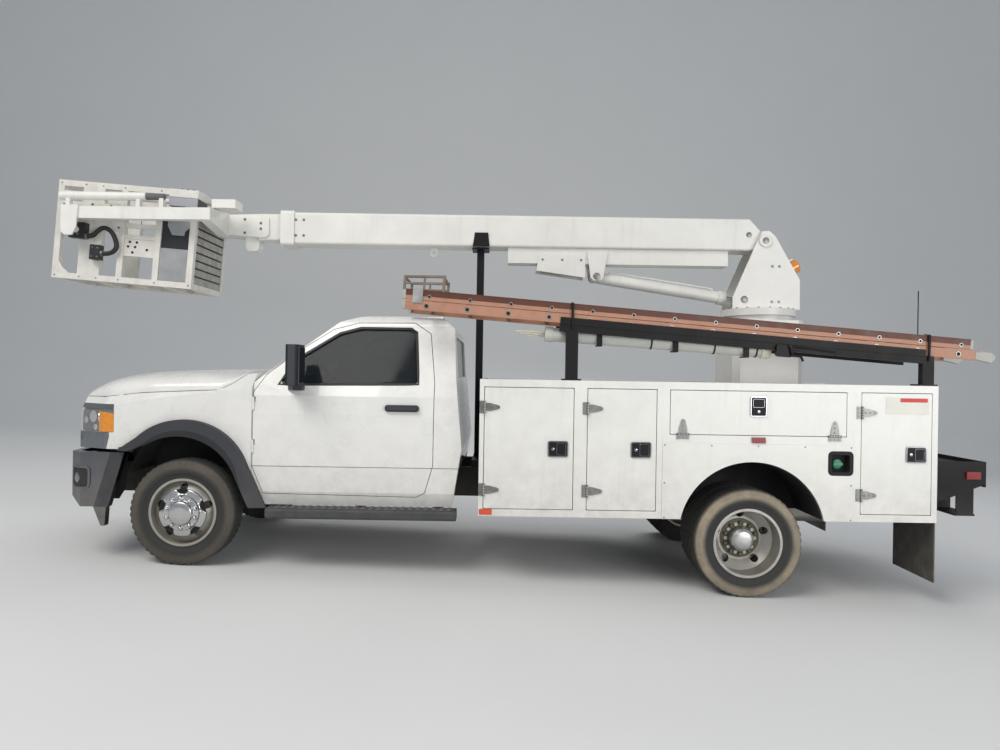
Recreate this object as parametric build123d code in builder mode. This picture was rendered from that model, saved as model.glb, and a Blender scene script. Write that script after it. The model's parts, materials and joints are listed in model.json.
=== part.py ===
from build123d import *
import math
import os

# Cherry picker truck: a medium-duty chassis with a service body, a turntable
# pedestal, a telescopic boom and a work platform hung beside its jib beam.
# Millimetres. X runs to the rear, Y to the truck's right and Z up. Everything is
# drawn level, with X = 0 at the front axle and Z = 0 at the ground under the rear
# axle, and is tipped nose down by the rake when it is written.

# Stance
wheelbase = 4280
front_hub_z = 537
rear_hub_z = 395
rake = math.degrees(math.atan((front_hub_z - rear_hub_z) / wheelbase))

# Clearances
seat_gap = 0.3
moving_gap = 5

# Wheels and tyres
tyre_radius = 406
tyre_width = 225
tread_width = 190
bulge_radius = 335
rim_seat_radius = 248
rim_width = 172
flange_radius = 260
flange_width = 9
rim_wall = 8
front_track_half = 945
dual_centre = 940
dual_half_gap = 130
lug_circle = 112
lug_count = 10
hand_hole_circle = 190
hand_hole_radius = 30
hand_hole_count = 5
hub_radius = 72
spindle_radius = 30
rear_spindle_radius = 45
drum_radius = 190

# Axles, kingpins and springs
kingpin_y = 850
kingpin_radius = 18
kingpin_boss_radius = 45
kingpin_boss_height = 110
knuckle_eye_height = 30
axle_tube_radius = 65
axle_tube_half = 690
spring_y = 392
spring_width = 70
spring_half_length = 620
spring_eye_radius = 20
spring_eye_z = 565

# Frame rails
rail_half = 430
rail_flange = 76
rail_web = 8
rail_bottom = 600
rail_top = 840
rail_front = -760
rail_rear = wheelbase + 1710
cross_member_bottom = 740

# Cab and nose
cab_half = 1003
cab_front = 440
cab_wall = 70
door_wall = 65
cab_floor_bottom = 860
cab_floor_top = 900
roof_crown = 2118
nose_wall = 40
nose_front = -890
nose_rear = 505
hood_rear = 430
arch_x = 0
arch_inner_z = 757
arch_inner_radius = 405
flare_lip_top = 1118
arch_outer_z = 735
arch_outer_radius = 511
flare_half = 1066
glass_thickness = 6
glass_inset = 14
windshield_bow = 3600

# Service body
body_front = 2261
body_rear = wheelbase + 1375
body_bottom = 579
body_top = 1592
body_half = 1215
pack_inner = 715
pack_wall = 20
door_thickness = 28
door_gap = 5
wheel_opening_x = wheelbase + 10
wheel_opening_radius = 544
wheel_opening_z = 465
arch_panel_front = wheelbase - 661
arch_panel_rear = wheelbase + 753
arch_panel_top = 1142
deck_top = 1000
deck_thickness = 20
hinge_radius = 8
hinge_length = 92
tail_shelf_rear = body_rear + 404
tail_shelf_half = 1150

# Boom, turret and pedestal
turret_x = 4725
pedestal_width = 610
pedestal_top = 2135
bearing_top = 2180
turret_plate_inner = 145
turret_plate_thickness = 20
boom_pivot_x = 4724
boom_pivot_z = 2841
pivot_pin_radius = 40
boom_front = 447
boom_bottom = 2758
boom_top = 3040
boom_width = 250
boom_wall = 10
inner_front = 240
inner_rear = 4560
inner_bottom = 2792
inner_top = 3027
inner_width = 180
channel_bottom = 2623
channel_half = 90
barrel_pin_x = 3252
barrel_pin_z = 2515
rod_pin_x = 4547
rod_pin_z = 2323
barrel_radius = 52
rod_radius = 25
cylinder_pin_radius = 20
rest_post_x = 2218
rest_post_top = 2750

# Jib beam and platform
beam_near = -520
beam_width = 80
beam_bottom = 2878
beam_top = 2979
beam_front = -1262
leveller_front = -1296
leveller_y = -480
leveller_z = 3072
leveller_radius = 35
level_pivot_x = -1202
level_pivot_z = 2801
level_pin_radius = 28
platform_tilt = 4
platform_corner_x = -1444
platform_corner_z = 2402
platform_length = 1197
platform_height = 840
platform_near = -350
platform_far = 360
platform_tube = 50

# Ladder and its rack
ladder_near = -1195
ladder_far = -765
ladder_front_x = 1668
ladder_front_z = 2107
ladder_length = 4337
ladder_slope = 4.25
ladder_height = 145
rung_pitch = 305
rung_radius = 16
stile_width = 30

# Lists that the last lines work through: each piece with its node's name
finished = []


def side(y=0):
    """Sketch plane seen from the left: X to the right, Z up, outward is -Y."""
    return Plane.XZ.offset(-y)


def cross(x=0):
    """Sketch plane across the truck: Y to the right, Z up, outward is +X."""
    return Plane.YZ.offset(x)


def plan(z=0):
    """Sketch plane seen from above."""
    return Plane.XY.offset(z)


def keep(piece, label):
    """Keep a finished piece under its node's name."""
    finished.append((piece, label))


def block(x, y, z):
    """A box from three (low, high) pairs."""
    spans = [high - low for low, high in (x, y, z)]
    centre = [(low + high) / 2 for low, high in (x, y, z)]
    return Pos(*centre) * Box(*spans, mode=Mode.PRIVATE)


def to_right(piece):
    """The right-hand twin of a left-hand piece."""
    return mirror(piece, about=Plane.XZ, mode=Mode.PRIVATE)


# Wheels and tyres

def wheel_section(hub_x, hub_z):
    """Half section of a wheel: local x is Y and local y is the radius."""
    return Plane(origin=(hub_x, 0, hub_z), x_dir=(0, 1, 0), z_dir=(1, 0, 0))


def wheel_axis(hub_x, hub_z):
    return Axis((hub_x, 0, hub_z), (0, 1, 0))


def make_tyres(hub_x, hub_z, centres):
    """Tyres on one axle end, one for each centre in Y."""
    bore = rim_seat_radius + seat_gap
    bead = rim_width / 2 - seat_gap
    with BuildPart() as tyres:
        for centre in centres:
            with BuildSketch(wheel_section(hub_x, hub_z)):
                with BuildLine():
                    Polyline(
                        (centre - bead, bore),
                        (centre - tyre_width / 2, bulge_radius),
                        (centre - tread_width / 2, tyre_radius),
                        (centre + tread_width / 2, tyre_radius),
                        (centre + tyre_width / 2, bulge_radius),
                        (centre + bead, bore),
                        close=True,
                    )
                make_face()
            revolve(axis=wheel_axis(hub_x, hub_z))
    return tyres.part


def barrel_outline(centre):
    """Rim barrel with its two flared flanges, as (Y, radius) points."""
    half = rim_width / 2
    inner = rim_seat_radius - rim_wall
    return [
        (centre - half - flange_width, flange_radius),
        (centre - half, rim_seat_radius),
        (centre + half, rim_seat_radius),
        (centre + half + flange_width, flange_radius),
        (centre + half + flange_width, inner),
        (centre - half - flange_width, inner),
    ]


def revolve_outlines(hub_x, hub_z, outlines):
    """Revolve several closed (Y, radius) outlines about the wheel's axis."""
    with BuildPart() as turned:
        for outline in outlines:
            with BuildSketch(wheel_section(hub_x, hub_z)):
                with BuildLine():
                    Polyline(*outline, close=True)
                make_face()
            revolve(axis=wheel_axis(hub_x, hub_z))
    return turned.part


def drill_disc(disc, hub_x, hub_z, y, depth):
    """Cut the hand holes through a wheel disc and set its nuts on face y."""
    face = Plane(origin=(hub_x, y, hub_z), x_dir=(1, 0, 0), z_dir=(0, -1, 0))
    with BuildPart() as drilled:
        add(disc)
        with BuildSketch(face):
            with PolarLocations(hand_hole_circle, hand_hole_count, start_angle=18):
                Circle(hand_hole_radius)
        extrude(amount=depth, both=True, mode=Mode.SUBTRACT)
        with BuildSketch(face):
            with PolarLocations(lug_circle, lug_count):
                RegularPolygon(radius=15, side_count=6)
        extrude(amount=24)
    return drilled.part


def front_wheel():
    """Left steered wheel: the disc bulges outward to the hub cover."""
    c = -front_track_half
    seat = rim_seat_radius - rim_wall
    bore = spindle_radius + seat_gap
    disc = [
        (c - 26, seat + 3), (c - 92, 165), (c - 92, bore), (c - 80, bore), (c - 80, 160), (c - 14, seat + 3),
    ]
    hub = [
        (c - 92, hub_radius), (c + 18, hub_radius), (c + 18, bore), (c - 62, bore), (c - 62, 0), (c - 92, 0),
    ]
    drum = [(c - 20, drum_radius), (c + 75, drum_radius), (c + 75, 150), (c, 150), (c, 60), (c - 20, 60)]
    cover = [(c - 92, 88), (c - 122, 82), (c - 138, 50), (c - 138, 0), (c - 92, 0)]
    turned = revolve_outlines(0, front_hub_z, [barrel_outline(c), disc, hub, drum, cover])
    return drill_disc(turned, 0, front_hub_z, c - 92, 70)


def rear_wheels():
    """Left twin wheels: two rims whose discs meet at the middle, one deep dish."""
    c = -dual_centre
    seat = rim_seat_radius - rim_wall
    bore = rear_spindle_radius + seat_gap
    outer = barrel_outline(c - dual_half_gap)
    inner = barrel_outline(c + dual_half_gap)
    disc = [
        (c - 60, seat + 3), (c - 14, 170), (c - 14, bore), (c + 14, bore), (c + 14, 170),
        (c + 60, seat + 3), (c + 48, seat + 3), (c + 6, 182), (c - 6, 182), (c - 48, seat + 3),
    ]
    hub = [(c - 104, 72), (c - 14, 86), (c - 14, 0), (c - 104, 0)]
    drum = [(c + 14, 205), (c + 150, 205), (c + 150, 190), (c + 30, 190), (c + 30, 60), (c + 14, 60)]
    sleeve = [(c - 14, 70), (c + 230, 70), (c + 230, bore), (c - 14, bore)]
    turned = revolve_outlines(wheelbase, rear_hub_z, [outer, inner, disc, hub, drum, sleeve])
    return drill_disc(turned, wheelbase, rear_hub_z, c - 14, 60)


left_front_tyre = make_tyres(0, front_hub_z, [-front_track_half])
left_rear_tyres = make_tyres(
    wheelbase, rear_hub_z, [-dual_centre - dual_half_gap, -dual_centre + dual_half_gap]
)
left_front_wheel = front_wheel()
left_rear_wheels = rear_wheels()
for piece, name in (
    (left_front_tyre, "front_tyre"),
    (left_front_wheel, "front_wheel"),
    (left_rear_tyres, "rear_tyres"),
    (left_rear_wheels, "rear_wheels"),
):
    keep(piece, name + "_left")
    keep(to_right(piece), name + "_right")


# Kingpins stand truly upright, so their plane leans by the rake in this frame
def kingpin_plane(y):
    lean = math.radians(rake)
    return Plane(
        origin=(0, y, front_hub_z),
        x_dir=(math.cos(lean), 0, -math.sin(lean)),
        z_dir=(math.sin(lean), 0, math.cos(lean)),
    )


boss_half = kingpin_boss_height / 2
knuckle_half = boss_half + seat_gap + knuckle_eye_height
web_inner = kingpin_boss_radius + moving_gap
web_outer = web_inner + 22
with BuildPart() as left_knuckle:
    for level in (-knuckle_half, boss_half + seat_gap):
        with BuildSketch(kingpin_plane(-kingpin_y).offset(level)):
            Circle(kingpin_boss_radius)
            with Locations((0, -web_outer / 2)):
                Rectangle(60, web_outer)
        extrude(amount=knuckle_eye_height)
    with BuildSketch(kingpin_plane(-kingpin_y).offset(-knuckle_half)):
        with Locations((0, -(web_inner + web_outer) / 2)):
            Rectangle(70, web_outer - web_inner)
        Circle(kingpin_radius)
    extrude(amount=2 * knuckle_half)
    with BuildSketch(side(-kingpin_y - web_outer)):
        with Locations((0, front_hub_z)):
            Circle(spindle_radius)
    extrude(amount=front_track_half + 62 - kingpin_y - web_outer - 1)
keep(left_knuckle.part, "knuckle_left")
keep(to_right(left_knuckle.part), "knuckle_right")

with BuildPart() as front_axle:
    with BuildSketch(cross(-38)):
        with BuildLine():
            Polyline(
                (-kingpin_y, front_hub_z + 45),
                (-kingpin_y, front_hub_z - 45),
                (-795, front_hub_z - 45), (-725, 430), (725, 430), (795, front_hub_z - 45),
                (kingpin_y, front_hub_z - 45),
                (kingpin_y, front_hub_z + 45),
                (720, 505), (-720, 505),
                close=True,
            )
        make_face()
    extrude(amount=76)
    with BuildSketch(cross(-38)):
        with GridLocations(2 * 560, 0, 2, 1):
            with Locations((0, 467)):
                Rectangle(300, 40)
        with Locations((0, 467)):
            Rectangle(560, 40)
    extrude(amount=24, mode=Mode.SUBTRACT)
    for end in (-kingpin_y, kingpin_y):
        with BuildSketch(kingpin_plane(end).offset(-boss_half)):
            Circle(kingpin_boss_radius)
        extrude(amount=kingpin_boss_height)
        with BuildSketch(kingpin_plane(end).offset(-boss_half - 1)):
            Circle(kingpin_radius + seat_gap)
        extrude(amount=kingpin_boss_height + 2, mode=Mode.SUBTRACT)
keep(front_axle.part, "front_axle")

shaft_start = Vector(1272, 0, 690)
shaft_end = Vector(wheelbase - 190, 0, rear_hub_z + 30)
with BuildPart() as rear_axle:
    with BuildSketch(side(axle_tube_half)):
        with Locations((wheelbase, rear_hub_z)):
            Circle(axle_tube_radius)
    extrude(amount=2 * axle_tube_half)
    with BuildSketch(side(880)):
        with Locations((wheelbase, rear_hub_z)):
            Circle(rear_spindle_radius)
    extrude(amount=2 * 880)
    with BuildSketch(side(0)):
        with BuildLine():
            Polyline(
                (wheelbase - 190, rear_hub_z), (wheelbase - 190, rear_hub_z + 70),
                (wheelbase - 110, rear_hub_z + 175), (wheelbase + 50, rear_hub_z + 175),
                (wheelbase + 130, rear_hub_z + 110), (wheelbase + 130, rear_hub_z), close=True,
            )
        make_face()
    revolve(axis=Axis((wheelbase, 0, rear_hub_z), (1, 0, 0)))
    with BuildSketch(Plane(origin=shaft_start, z_dir=shaft_end - shaft_start)):
        Circle(48)
    extrude(amount=(shaft_end - shaft_start).length + 70)
keep(rear_axle.part, "rear_axle")


# Springs: (axle X, seat Z, eye Z); a tapering pack of leaves with an eye at each end
def leaf_spring(axle_x, seat_z):
    front = axle_x - spring_half_length
    rear = axle_x + spring_half_length
    low = spring_eye_z - 10
    high = spring_eye_z + 8
    with BuildPart() as spring:
        with BuildSketch(side(spring_y + spring_width / 2)):
            with BuildLine():
                ThreePointArc((front, low), (axle_x, seat_z), (rear, low))
                Line((rear, low), (rear, high))
                ThreePointArc((rear, high), (axle_x, seat_z + 62), (front, high))
                Line((front, high), (front, low))
            make_face()
            with Locations((front, spring_eye_z), (rear, spring_eye_z)):
                Circle(spring_eye_radius)
        extrude(amount=spring_width)
        with BuildSketch(plan(seat_z)):
            with Locations((axle_x, spring_y)):
                Rectangle(110, spring_width)
        extrude(amount=80)
    return spring.part


front_spring = leaf_spring(0, 505 + seat_gap)
rear_spring = leaf_spring(wheelbase, rear_hub_z + axle_tube_radius + seat_gap)
with BuildPart() as leaf_springs:
    add(front_spring)
    add(to_right(front_spring))
    add(rear_spring)
    add(to_right(rear_spring))
keep(leaf_springs.part, "leaf_springs")

# Frame rails with cross members, spring hangers and cab mounts
cross_member_x = [-705, 1560, 2600, 3500, wheelbase + 570, wheelbase + 1360, wheelbase + 1650]
cross_member_length = 90
cab_mount_x = [700, 1900]
with BuildPart() as frame_rails:
    with BuildSketch(cross(rail_front)):
        for hand in (-1, 1):
            with Locations((hand * (rail_half - rail_flange / 2), (rail_bottom + rail_top) / 2)):
                Rectangle(rail_flange, rail_top - rail_bottom)
            with Locations((hand * (rail_half - rail_web - rail_flange / 2), (rail_bottom + rail_top) / 2)):
                Rectangle(rail_flange, rail_top - rail_bottom - 2 * rail_web, mode=Mode.SUBTRACT)
    extrude(amount=rail_rear - rail_front)
    with BuildSketch(plan(cross_member_bottom)):
        for x in cross_member_x:
            with Locations((x, 0)):
                Rectangle(cross_member_length, 2 * (rail_half - rail_web - seat_gap))
    extrude(amount=rail_top - rail_web - seat_gap - cross_member_bottom)
    with BuildSketch(plan(spring_eye_z + spring_eye_radius + seat_gap)):
        for x in (0, wheelbase):
            with Locations((x, 0)):
                with GridLocations(2 * spring_half_length, 2 * spring_y, 2, 2):
                    Rectangle(70, spring_width)
    extrude(amount=rail_bottom - spring_eye_z - spring_eye_radius - seat_gap)
    with BuildSketch(plan(rail_top)):
        for x in cab_mount_x:
            with Locations((x, 0)):
                with GridLocations(0, 2 * spring_y, 1, 2):
                    Rectangle(90, rail_flange)
    extrude(amount=cab_floor_bottom - rail_top - seat_gap)
keep(frame_rails.part, "frame_rails")

# Engine, radiator and gearbox as plain blocks at their real places
engine_half = 320
radiator_front = -720
engine_blocks = [
    # (x span, y span, z span)
    ((-560, 415), (-engine_half, engine_half), (610, 1340)),
    ((radiator_front, -640), (-345, 345), (rail_top - rail_web + seat_gap, 1330)),
    ((-640 + seat_gap, -560 - seat_gap), (-250, 250), (860, 1250)),
    ((415 + seat_gap, 1262), (-190, 190), (560, 835)),
    ((-60, 60), (-rail_half, -engine_half - seat_gap), (rail_top + seat_gap, 880)),
    ((-60, 60), (engine_half + seat_gap, rail_half), (rail_top + seat_gap, 880)),
]
with BuildPart() as engine:
    for x_span, y_span, z_span in engine_blocks:
        add(block(x_span, y_span, z_span))
keep(engine.part, "engine")

with BuildPart() as fuel_tank:
    with BuildSketch(cross(wheelbase + 540)):
        with Locations((0, 570)):
            RectangleRounded(640, 2 * (cross_member_bottom - seat_gap - 570), 60)
    extrude(amount=870)
keep(fuel_tank.part, "fuel_tank")

muffler_y = (rail_half + pack_inner) / 2 - 12
tail_pipe_y = body_half - 95
exhaust_path = [
    (420, muffler_y, 640), (1900, muffler_y, 560), (3050, muffler_y, 560), (3300, muffler_y + 80, 520),
    (3380, tail_pipe_y, 500),
]
with BuildPart() as exhaust:
    with BuildLine():
        FilletPolyline(*exhaust_path, radius=[90, 90, 60])
    first_run = Vector(*exhaust_path[1]) - Vector(*exhaust_path[0])
    with BuildSketch(Plane(origin=exhaust_path[0], z_dir=first_run)):
        Circle(44)
    sweep()
    with BuildSketch(cross(2200)):
        with Locations((muffler_y, 560)):
            Circle(105)
    extrude(amount=700)
    for x in (2300, 2800):
        add(block((x, x + 40), (rail_half + seat_gap, 520), (610, 720)))
keep(exhaust.part, "exhaust")


# Nose sections, columns: x, half width, side top, shoulder half width, shoulder top, crown
nose_sections = [
    (nose_front, 850, 1290, 740, 1418, 1440),
    (-640, 985, 1330, 820, 1500, 1545),
    (-330, 1008, 1390, 860, 1565, 1618),
    (nose_rear, 1006, 1500, 880, 1605, 1640),
]
nose_bottom = 560


def nose_solid(inset, bottom=nose_bottom):
    """The nose's outer form, or the same form drawn in by a wall's thickness."""
    with BuildPart() as form:
        for x, half, side_top, shoulder, shoulder_top, crown in nose_sections:
            at = x + inset if x == nose_front else x
            w = half - inset
            s = shoulder - 0.6 * inset
            with BuildSketch(cross(at)):
                with BuildLine():
                    Polyline(
                        (-s, shoulder_top - inset), (-w, side_top - inset), (-w, bottom),
                        (w, bottom), (w, side_top - inset), (s, shoulder_top - inset),
                    )
                    ThreePointArc(
                        (s, shoulder_top - inset), (0, crown - inset), (-s, shoulder_top - inset)
                    )
                make_face()
        loft(ruled=True)
    return form.part


def seam_prism(top, gap=0):
    """Everything above (or below) the hood's seam line, seen from the side."""
    line = [
        (nose_front - 30, 1402), (-687, 1404), (-348, 1443), (245, 1474),
        (334, 1520), (hood_rear, 1600), (nose_rear + 30, 1622),
    ]
    edge = 2400 if top else 300
    shift = gap if top else 0
    with BuildPart() as prism:
        with BuildSketch(side(1300)):
            with BuildLine():
                Polyline(
                    *[(x, z + shift) for x, z in line],
                    (nose_rear + 30, edge), (nose_front - 30, edge),
                    close=True,
                )
            make_face()
        extrude(amount=2600)
    return prism.part


nose_outer = nose_solid(0)
nose_inner = nose_solid(nose_wall, nose_bottom - 60)
nose_shell = nose_outer - nose_inner
hood_zone = block((nose_front - 50, hood_rear - 1), (-1100, 1100), (1300, 1700))
hood = nose_shell & seam_prism(True, moving_gap) & hood_zone
keep(hood, "hood")

# Lamp windows in the nose, columns: name, |y| from, z from, z to, x to
lamp_zones = [
    ("main", 612, 1137, 1352, -560),
    ("lower", 700, 1012, 1120, -640),
]
grille_half = 600
grille_bottom = 1010
grille_top = 1388
lamp_gap = 1


def lamp_zone(hand, y_from, z_from, z_to, x_to, grow=0):
    low, high = sorted((hand * (y_from - grow), hand * 1200))
    return block((nose_front - 60, x_to + grow), (low, high), (z_from - grow, z_to + grow))


with BuildPart() as arch_cut:
    with BuildSketch(side(1200)):
        with Locations((arch_x, arch_inner_z)):
            Circle(arch_inner_radius + 45)
        with BuildLine():
            Polyline(
                (-700, 300), (-520, 1020), (-300, 1080), (0, 900), (430, 900), (590, 600), (640, 300),
                close=True,
            )
        make_face()
    extrude(amount=2400)
fender_shell = nose_shell & seam_prism(False)
fender_shell -= arch_cut.part
fender_shell -= block((nose_front - 60, -640), (-grille_half - lamp_gap, grille_half + lamp_gap), (400, 1500))
fender_shell -= block((nose_front - 60, -470), (-1200, 1200), (400, 1008))
fender_shell -= block((nose_front - 200, nose_rear + 50), (-740, 740), (300, 1360))
for hand in (-1, 1):
    for name, y_from, z_from, z_to, x_to in lamp_zones:
        fender_shell -= lamp_zone(hand, y_from, z_from, z_to, x_to, lamp_gap)
# Buffers in the seam that the closed hood rests on
for x_span in ((-560, -520), (230, 270)):
    buffer_zone = block(x_span, (-1100, 1100), (1300, 1700))
    fender_shell += nose_shell & buffer_zone & (Pos(0, 0, moving_gap - seat_gap) * seam_prism(False))
keep(fender_shell, "front_fenders")

lamp_layer = nose_outer - nose_solid(80, nose_bottom - 60)
headlamps = Part()
for hand in (-1, 1):
    for name, y_from, z_from, z_to, x_to in lamp_zones:
        headlamps += lamp_layer & lamp_zone(hand, y_from, z_from, z_to, x_to)
keep(headlamps, "headlamps")

with BuildPart() as grille:
    with BuildSketch(cross(nose_front - 12)):
        with Locations((0, (grille_bottom + grille_top) / 2)):
            RectangleRounded(2 * grille_half, grille_top - grille_bottom, 40)
            with GridLocations(0, 82, 1, 4):
                with GridLocations(570, 0, 2, 1):
                    RectangleRounded(520, 56, 12, mode=Mode.SUBTRACT)
    extrude(amount=62)
    with BuildSketch(cross(nose_front + 50)):
        with Locations((0, (grille_bottom + grille_top) / 2)):
            Rectangle(2 * grille_half - 120, grille_top - grille_bottom - 40)
    extrude(amount=8)
    for y_span in ((-345, -285), (285, 345)):
        add(block((nose_front + 50, radiator_front - seat_gap), y_span, (1020, 1120)))
keep(grille.part, "grille")

# Front bumper: a band bent round the corners in plan, trimmed to its side outline
bumper_plan = [(-440, 1010), (-800, 1010), (-905, 930), (-975, 560)]
with BuildPart() as front_bumper:
    with BuildSketch(plan(400)):
        with BuildLine():
            left = [(x, -y) for x, y in bumper_plan]
            Polyline(*left, *reversed(bumper_plan), close=True)
        make_face()
    extrude(amount=600)
    with BuildSketch(plan(400)):
        with BuildLine():
            inner = [(-440, 950), (-785, 950), (-860, 890), (-915, 540)]
            left = [(x, -y) for x, y in inner]
            Polyline(*left, *reversed(inner), (-380, 950), (-380, -950), close=True)
        make_face()
    extrude(amount=600, mode=Mode.SUBTRACT)
    with BuildSketch(side(1300)):
        with BuildLine():
            Polyline(
                (-466, 985), (-990, 985), (-990, 730), (-905, 640), (-800, 566),
                (-700, 566), (-640, 420), (-610, 420), (-600, 566), (-585, 566),
                close=True,
            )
        make_face()
    extrude(amount=2600, mode=Mode.INTERSECT)
    for hand in (-1, 1):
        low, high = sorted((hand * (rail_half - rail_flange), hand * rail_half))
        add(block((-930, rail_front - seat_gap), (low, high), (rail_bottom, rail_top)))
    with BuildSketch(cross(-1000)):
        with GridLocations(2 * 790, 0, 2, 1):
            with Locations((0, 790)):
                Circle(62)
    extrude(amount=60, mode=Mode.SUBTRACT)
keep(front_bumper.part, "front_bumper")

# Wheel arch flares, with legs down to the bumper and the running board. The rear leg
# narrows where the open door's corner swings by.
board_level = 560
with BuildPart() as left_flare:
    with BuildSketch(side(-1000)):
        with BuildLine():
            Polyline((-422, 999), (-502, 1004), (-352, 1107))
            ThreePointArc((-352, 1107), (0, arch_outer_z + arch_outer_radius), (478, 915))
            Polyline((478, 915), (629, 577), (504, 580), (400, 820))
            ThreePointArc((400, 820), (0, flare_lip_top), (-270, 1059))
            Line((-270, 1059), (-422, 999))
        make_face()
    extrude(amount=flare_half - 1000)
    with BuildSketch(plan(board_level)):
        with BuildLine():
            Polyline(
                (470, -flare_half - 1), (640, -flare_half - 1), (640, -flare_half + 51), (470, -flare_half),
                close=True,
            )
        make_face()
    extrude(amount=400, mode=Mode.SUBTRACT)
with BuildPart() as fender_flares:
    add(left_flare.part - nose_solid(-seat_gap))
    add(to_right(left_flare.part - nose_solid(-seat_gap)))
keep(fender_flares.part, "fender_flares")


windshield_foot = Vector(526, 0, 1624)
windshield_top = Vector(1080, 0, 2012)


# Cab: a side outline and a cross section, crossed with a bowed windshield form
def cab_section(inset):
    """The cab's cross section along its whole length, drawn in by inset."""
    with BuildPart() as form:
        with BuildSketch(cross(0)):
            with BuildLine():
                Polyline(
                    (0, 594), (945, 594), (985, 700), (cab_half, 900), (cab_half, 1300),
                    (990, 1440), (950, 1560), (800, 1985),
                )
                ThreePointArc((800, 1985), (770, 2045), (700, 2082))
                ThreePointArc((700, 2082), (360, 2109), (0, roof_crown))
                Line((0, roof_crown), (0, 594))
            make_face()
            mirror(about=Plane.YZ)
            if inset:
                offset(amount=-inset)
        extrude(amount=2300)
    return form.part


def cab_solid(inset):
    """The cab's outer form, or the same form drawn in by a wall's thickness."""
    with BuildPart() as form:
        with BuildSketch(side(1300)):
            with BuildLine():
                Polyline(
                    (cab_front, 594), (cab_front, 1590), (526, 1624),
                    (1080, 2012), (1290, 2075), (1700, 2120), (1920, 2100), (2045, 1985),
                    (2066, 1621), (2121, 1050), (2050, 594),
                    close=True,
                )
            make_face()
            if inset:
                offset(amount=-inset)
        extrude(amount=2600)
    return form.part & cab_section(inset) & windshield_form(inset)


def windshield_form(inset):
    """A round-fronted bar that lies along the slope of the windshield."""
    run = (windshield_top - windshield_foot).normalized()
    normal = Vector(-run.Z, 0, run.X)
    foot = windshield_foot + normal * 70 - run * 3000
    with BuildPart() as form:
        with BuildSketch(Plane(origin=foot, x_dir=(0, 1, 0), z_dir=run)):
            with Locations((0, -windshield_bow)):
                Circle(windshield_bow - inset)
        extrude(amount=7000)
    return form.part


def windshield_prism(grow):
    """The windshield's opening, square to its slope, wider at the foot."""
    half_run = (windshield_top - windshield_foot).length / 2
    run = (windshield_top - windshield_foot).normalized()
    normal = Vector(-run.Z, 0, run.X)
    with BuildPart() as prism:
        with BuildSketch(Plane(origin=windshield_foot + run * half_run, x_dir=(0, 1, 0), z_dir=normal)):
            with BuildLine():
                Polyline(
                    (-810, half_run - 62), (810, half_run - 62), (655, 62 - half_run), (-655, 62 - half_run),
                    close=True,
                )
            make_face()
            fillet(vertices(), 60)
            offset(amount=grow)
        extrude(amount=170, both=True)
    return prism.part


def outline_prism(points, y_from, y_to, fillet_radius=0, grow=0):
    """A prism of a side-view outline between two Y planes, y_from the nearer."""
    with BuildPart() as prism:
        with BuildSketch(side(y_to)):
            with BuildLine():
                Polyline(*points, close=True)
            make_face()
            if fillet_radius:
                fillet(vertices(), fillet_radius)
            if grow:
                offset(amount=grow, kind=Kind.INTERSECTION)
        extrude(amount=y_to - y_from)
    return prism.part


door_outline = [
    (515, 892), (515, 1470), (600, 1600), (800, 1765), (1085, 1962), (1280, 2018), (1728, 2024),
    (1855, 1940), (1901, 1556), (1899, 917), (1838, 705), (1775, 672), (595, 687),
]
window_outline = [
    (700, 1530), (1773, 1546), (1740, 1950), (1700, 1975), (1300, 1975), (1140, 1930), (843, 1735),
]
cab_outer = cab_solid(0)
cab_inner = cab_solid(cab_wall)
cab_shell = cab_outer - (cab_inner & block((0, 2300), (-1200, 1200), (cab_floor_top, 2300)))
cab_shell -= block((0, 2300), (-830, 830), (400, cab_floor_bottom))
front_pillar_zone = block((0, nose_rear + 3), (-1200, 1200), (400, 2300))
nose_core = nose_solid(nose_wall + seat_gap, 300) + block(
    (nose_rear - 1, nose_rear + 5), (-900, 900), (cab_floor_bottom, 1440)
)
cab_shell = (cab_shell - front_pillar_zone) + (cab_shell & nose_core)
door_layer = cab_outer - cab_section(door_wall + moving_gap)
door_cut = outline_prism(door_outline, -1200, -600, grow=moving_gap) & door_layer
cab_shell -= door_cut
cab_shell -= to_right(door_cut)
cab_shell -= block((0, nose_rear + 3), (-1200, 1200), (594, cab_floor_bottom))
cab_shell -= windshield_prism(0)
rear_hole = block((1950, 2200), (-640, 640), (1600, 1930))
cab_shell -= rear_hole
cab_shell -= block((1950, 2200), (-1100, 1100), (300, 500))


# Door hinges stand upright beside the front edge; columns: foot, split and head heights
door_hinge_x = 515
door_hinge_y = -1006
door_hinge_radius = 9
door_hinges = [(1000, 1060, 1095), (1330, 1390, 1425)]


def hinge_barrel(z_from, z_to):
    """A stretch of the left door's hinge barrel."""
    with BuildPart() as barrel:
        with BuildSketch(plan(z_from)):
            with Locations((door_hinge_x, door_hinge_y)):
                Circle(door_hinge_radius)
        extrude(amount=z_to - z_from)
    return barrel.part


for foot, split, head in door_hinges:
    pin_room = block(
        (500, 511), (door_hinge_y - 20, door_hinge_y + 16), (foot - moving_gap, split + seat_gap)
    )
    hinge_plate = block((nose_rear + seat_gap, 510), (-cab_half, -940), (foot - 10, head + 10))
    lug = hinge_barrel(split + seat_gap, head) + block(
        (508, door_hinge_x), (door_hinge_y, door_hinge_y + 18), (split + seat_gap, head)
    )
    fixed_half = hinge_plate - pin_room + lug
    cab_shell = (cab_shell - pin_room - to_right(pin_room)) + fixed_half + to_right(fixed_half)
keep(cab_shell, "cab_shell")

glass_layer = cab_solid(glass_inset) - cab_solid(glass_inset + glass_thickness)
windshield = glass_layer & windshield_prism(-1)
rear_window = glass_layer & block((1950, 2200), (-639, 639), (1601, 1929))
keep(windshield + rear_window, "cab_glass")

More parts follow.
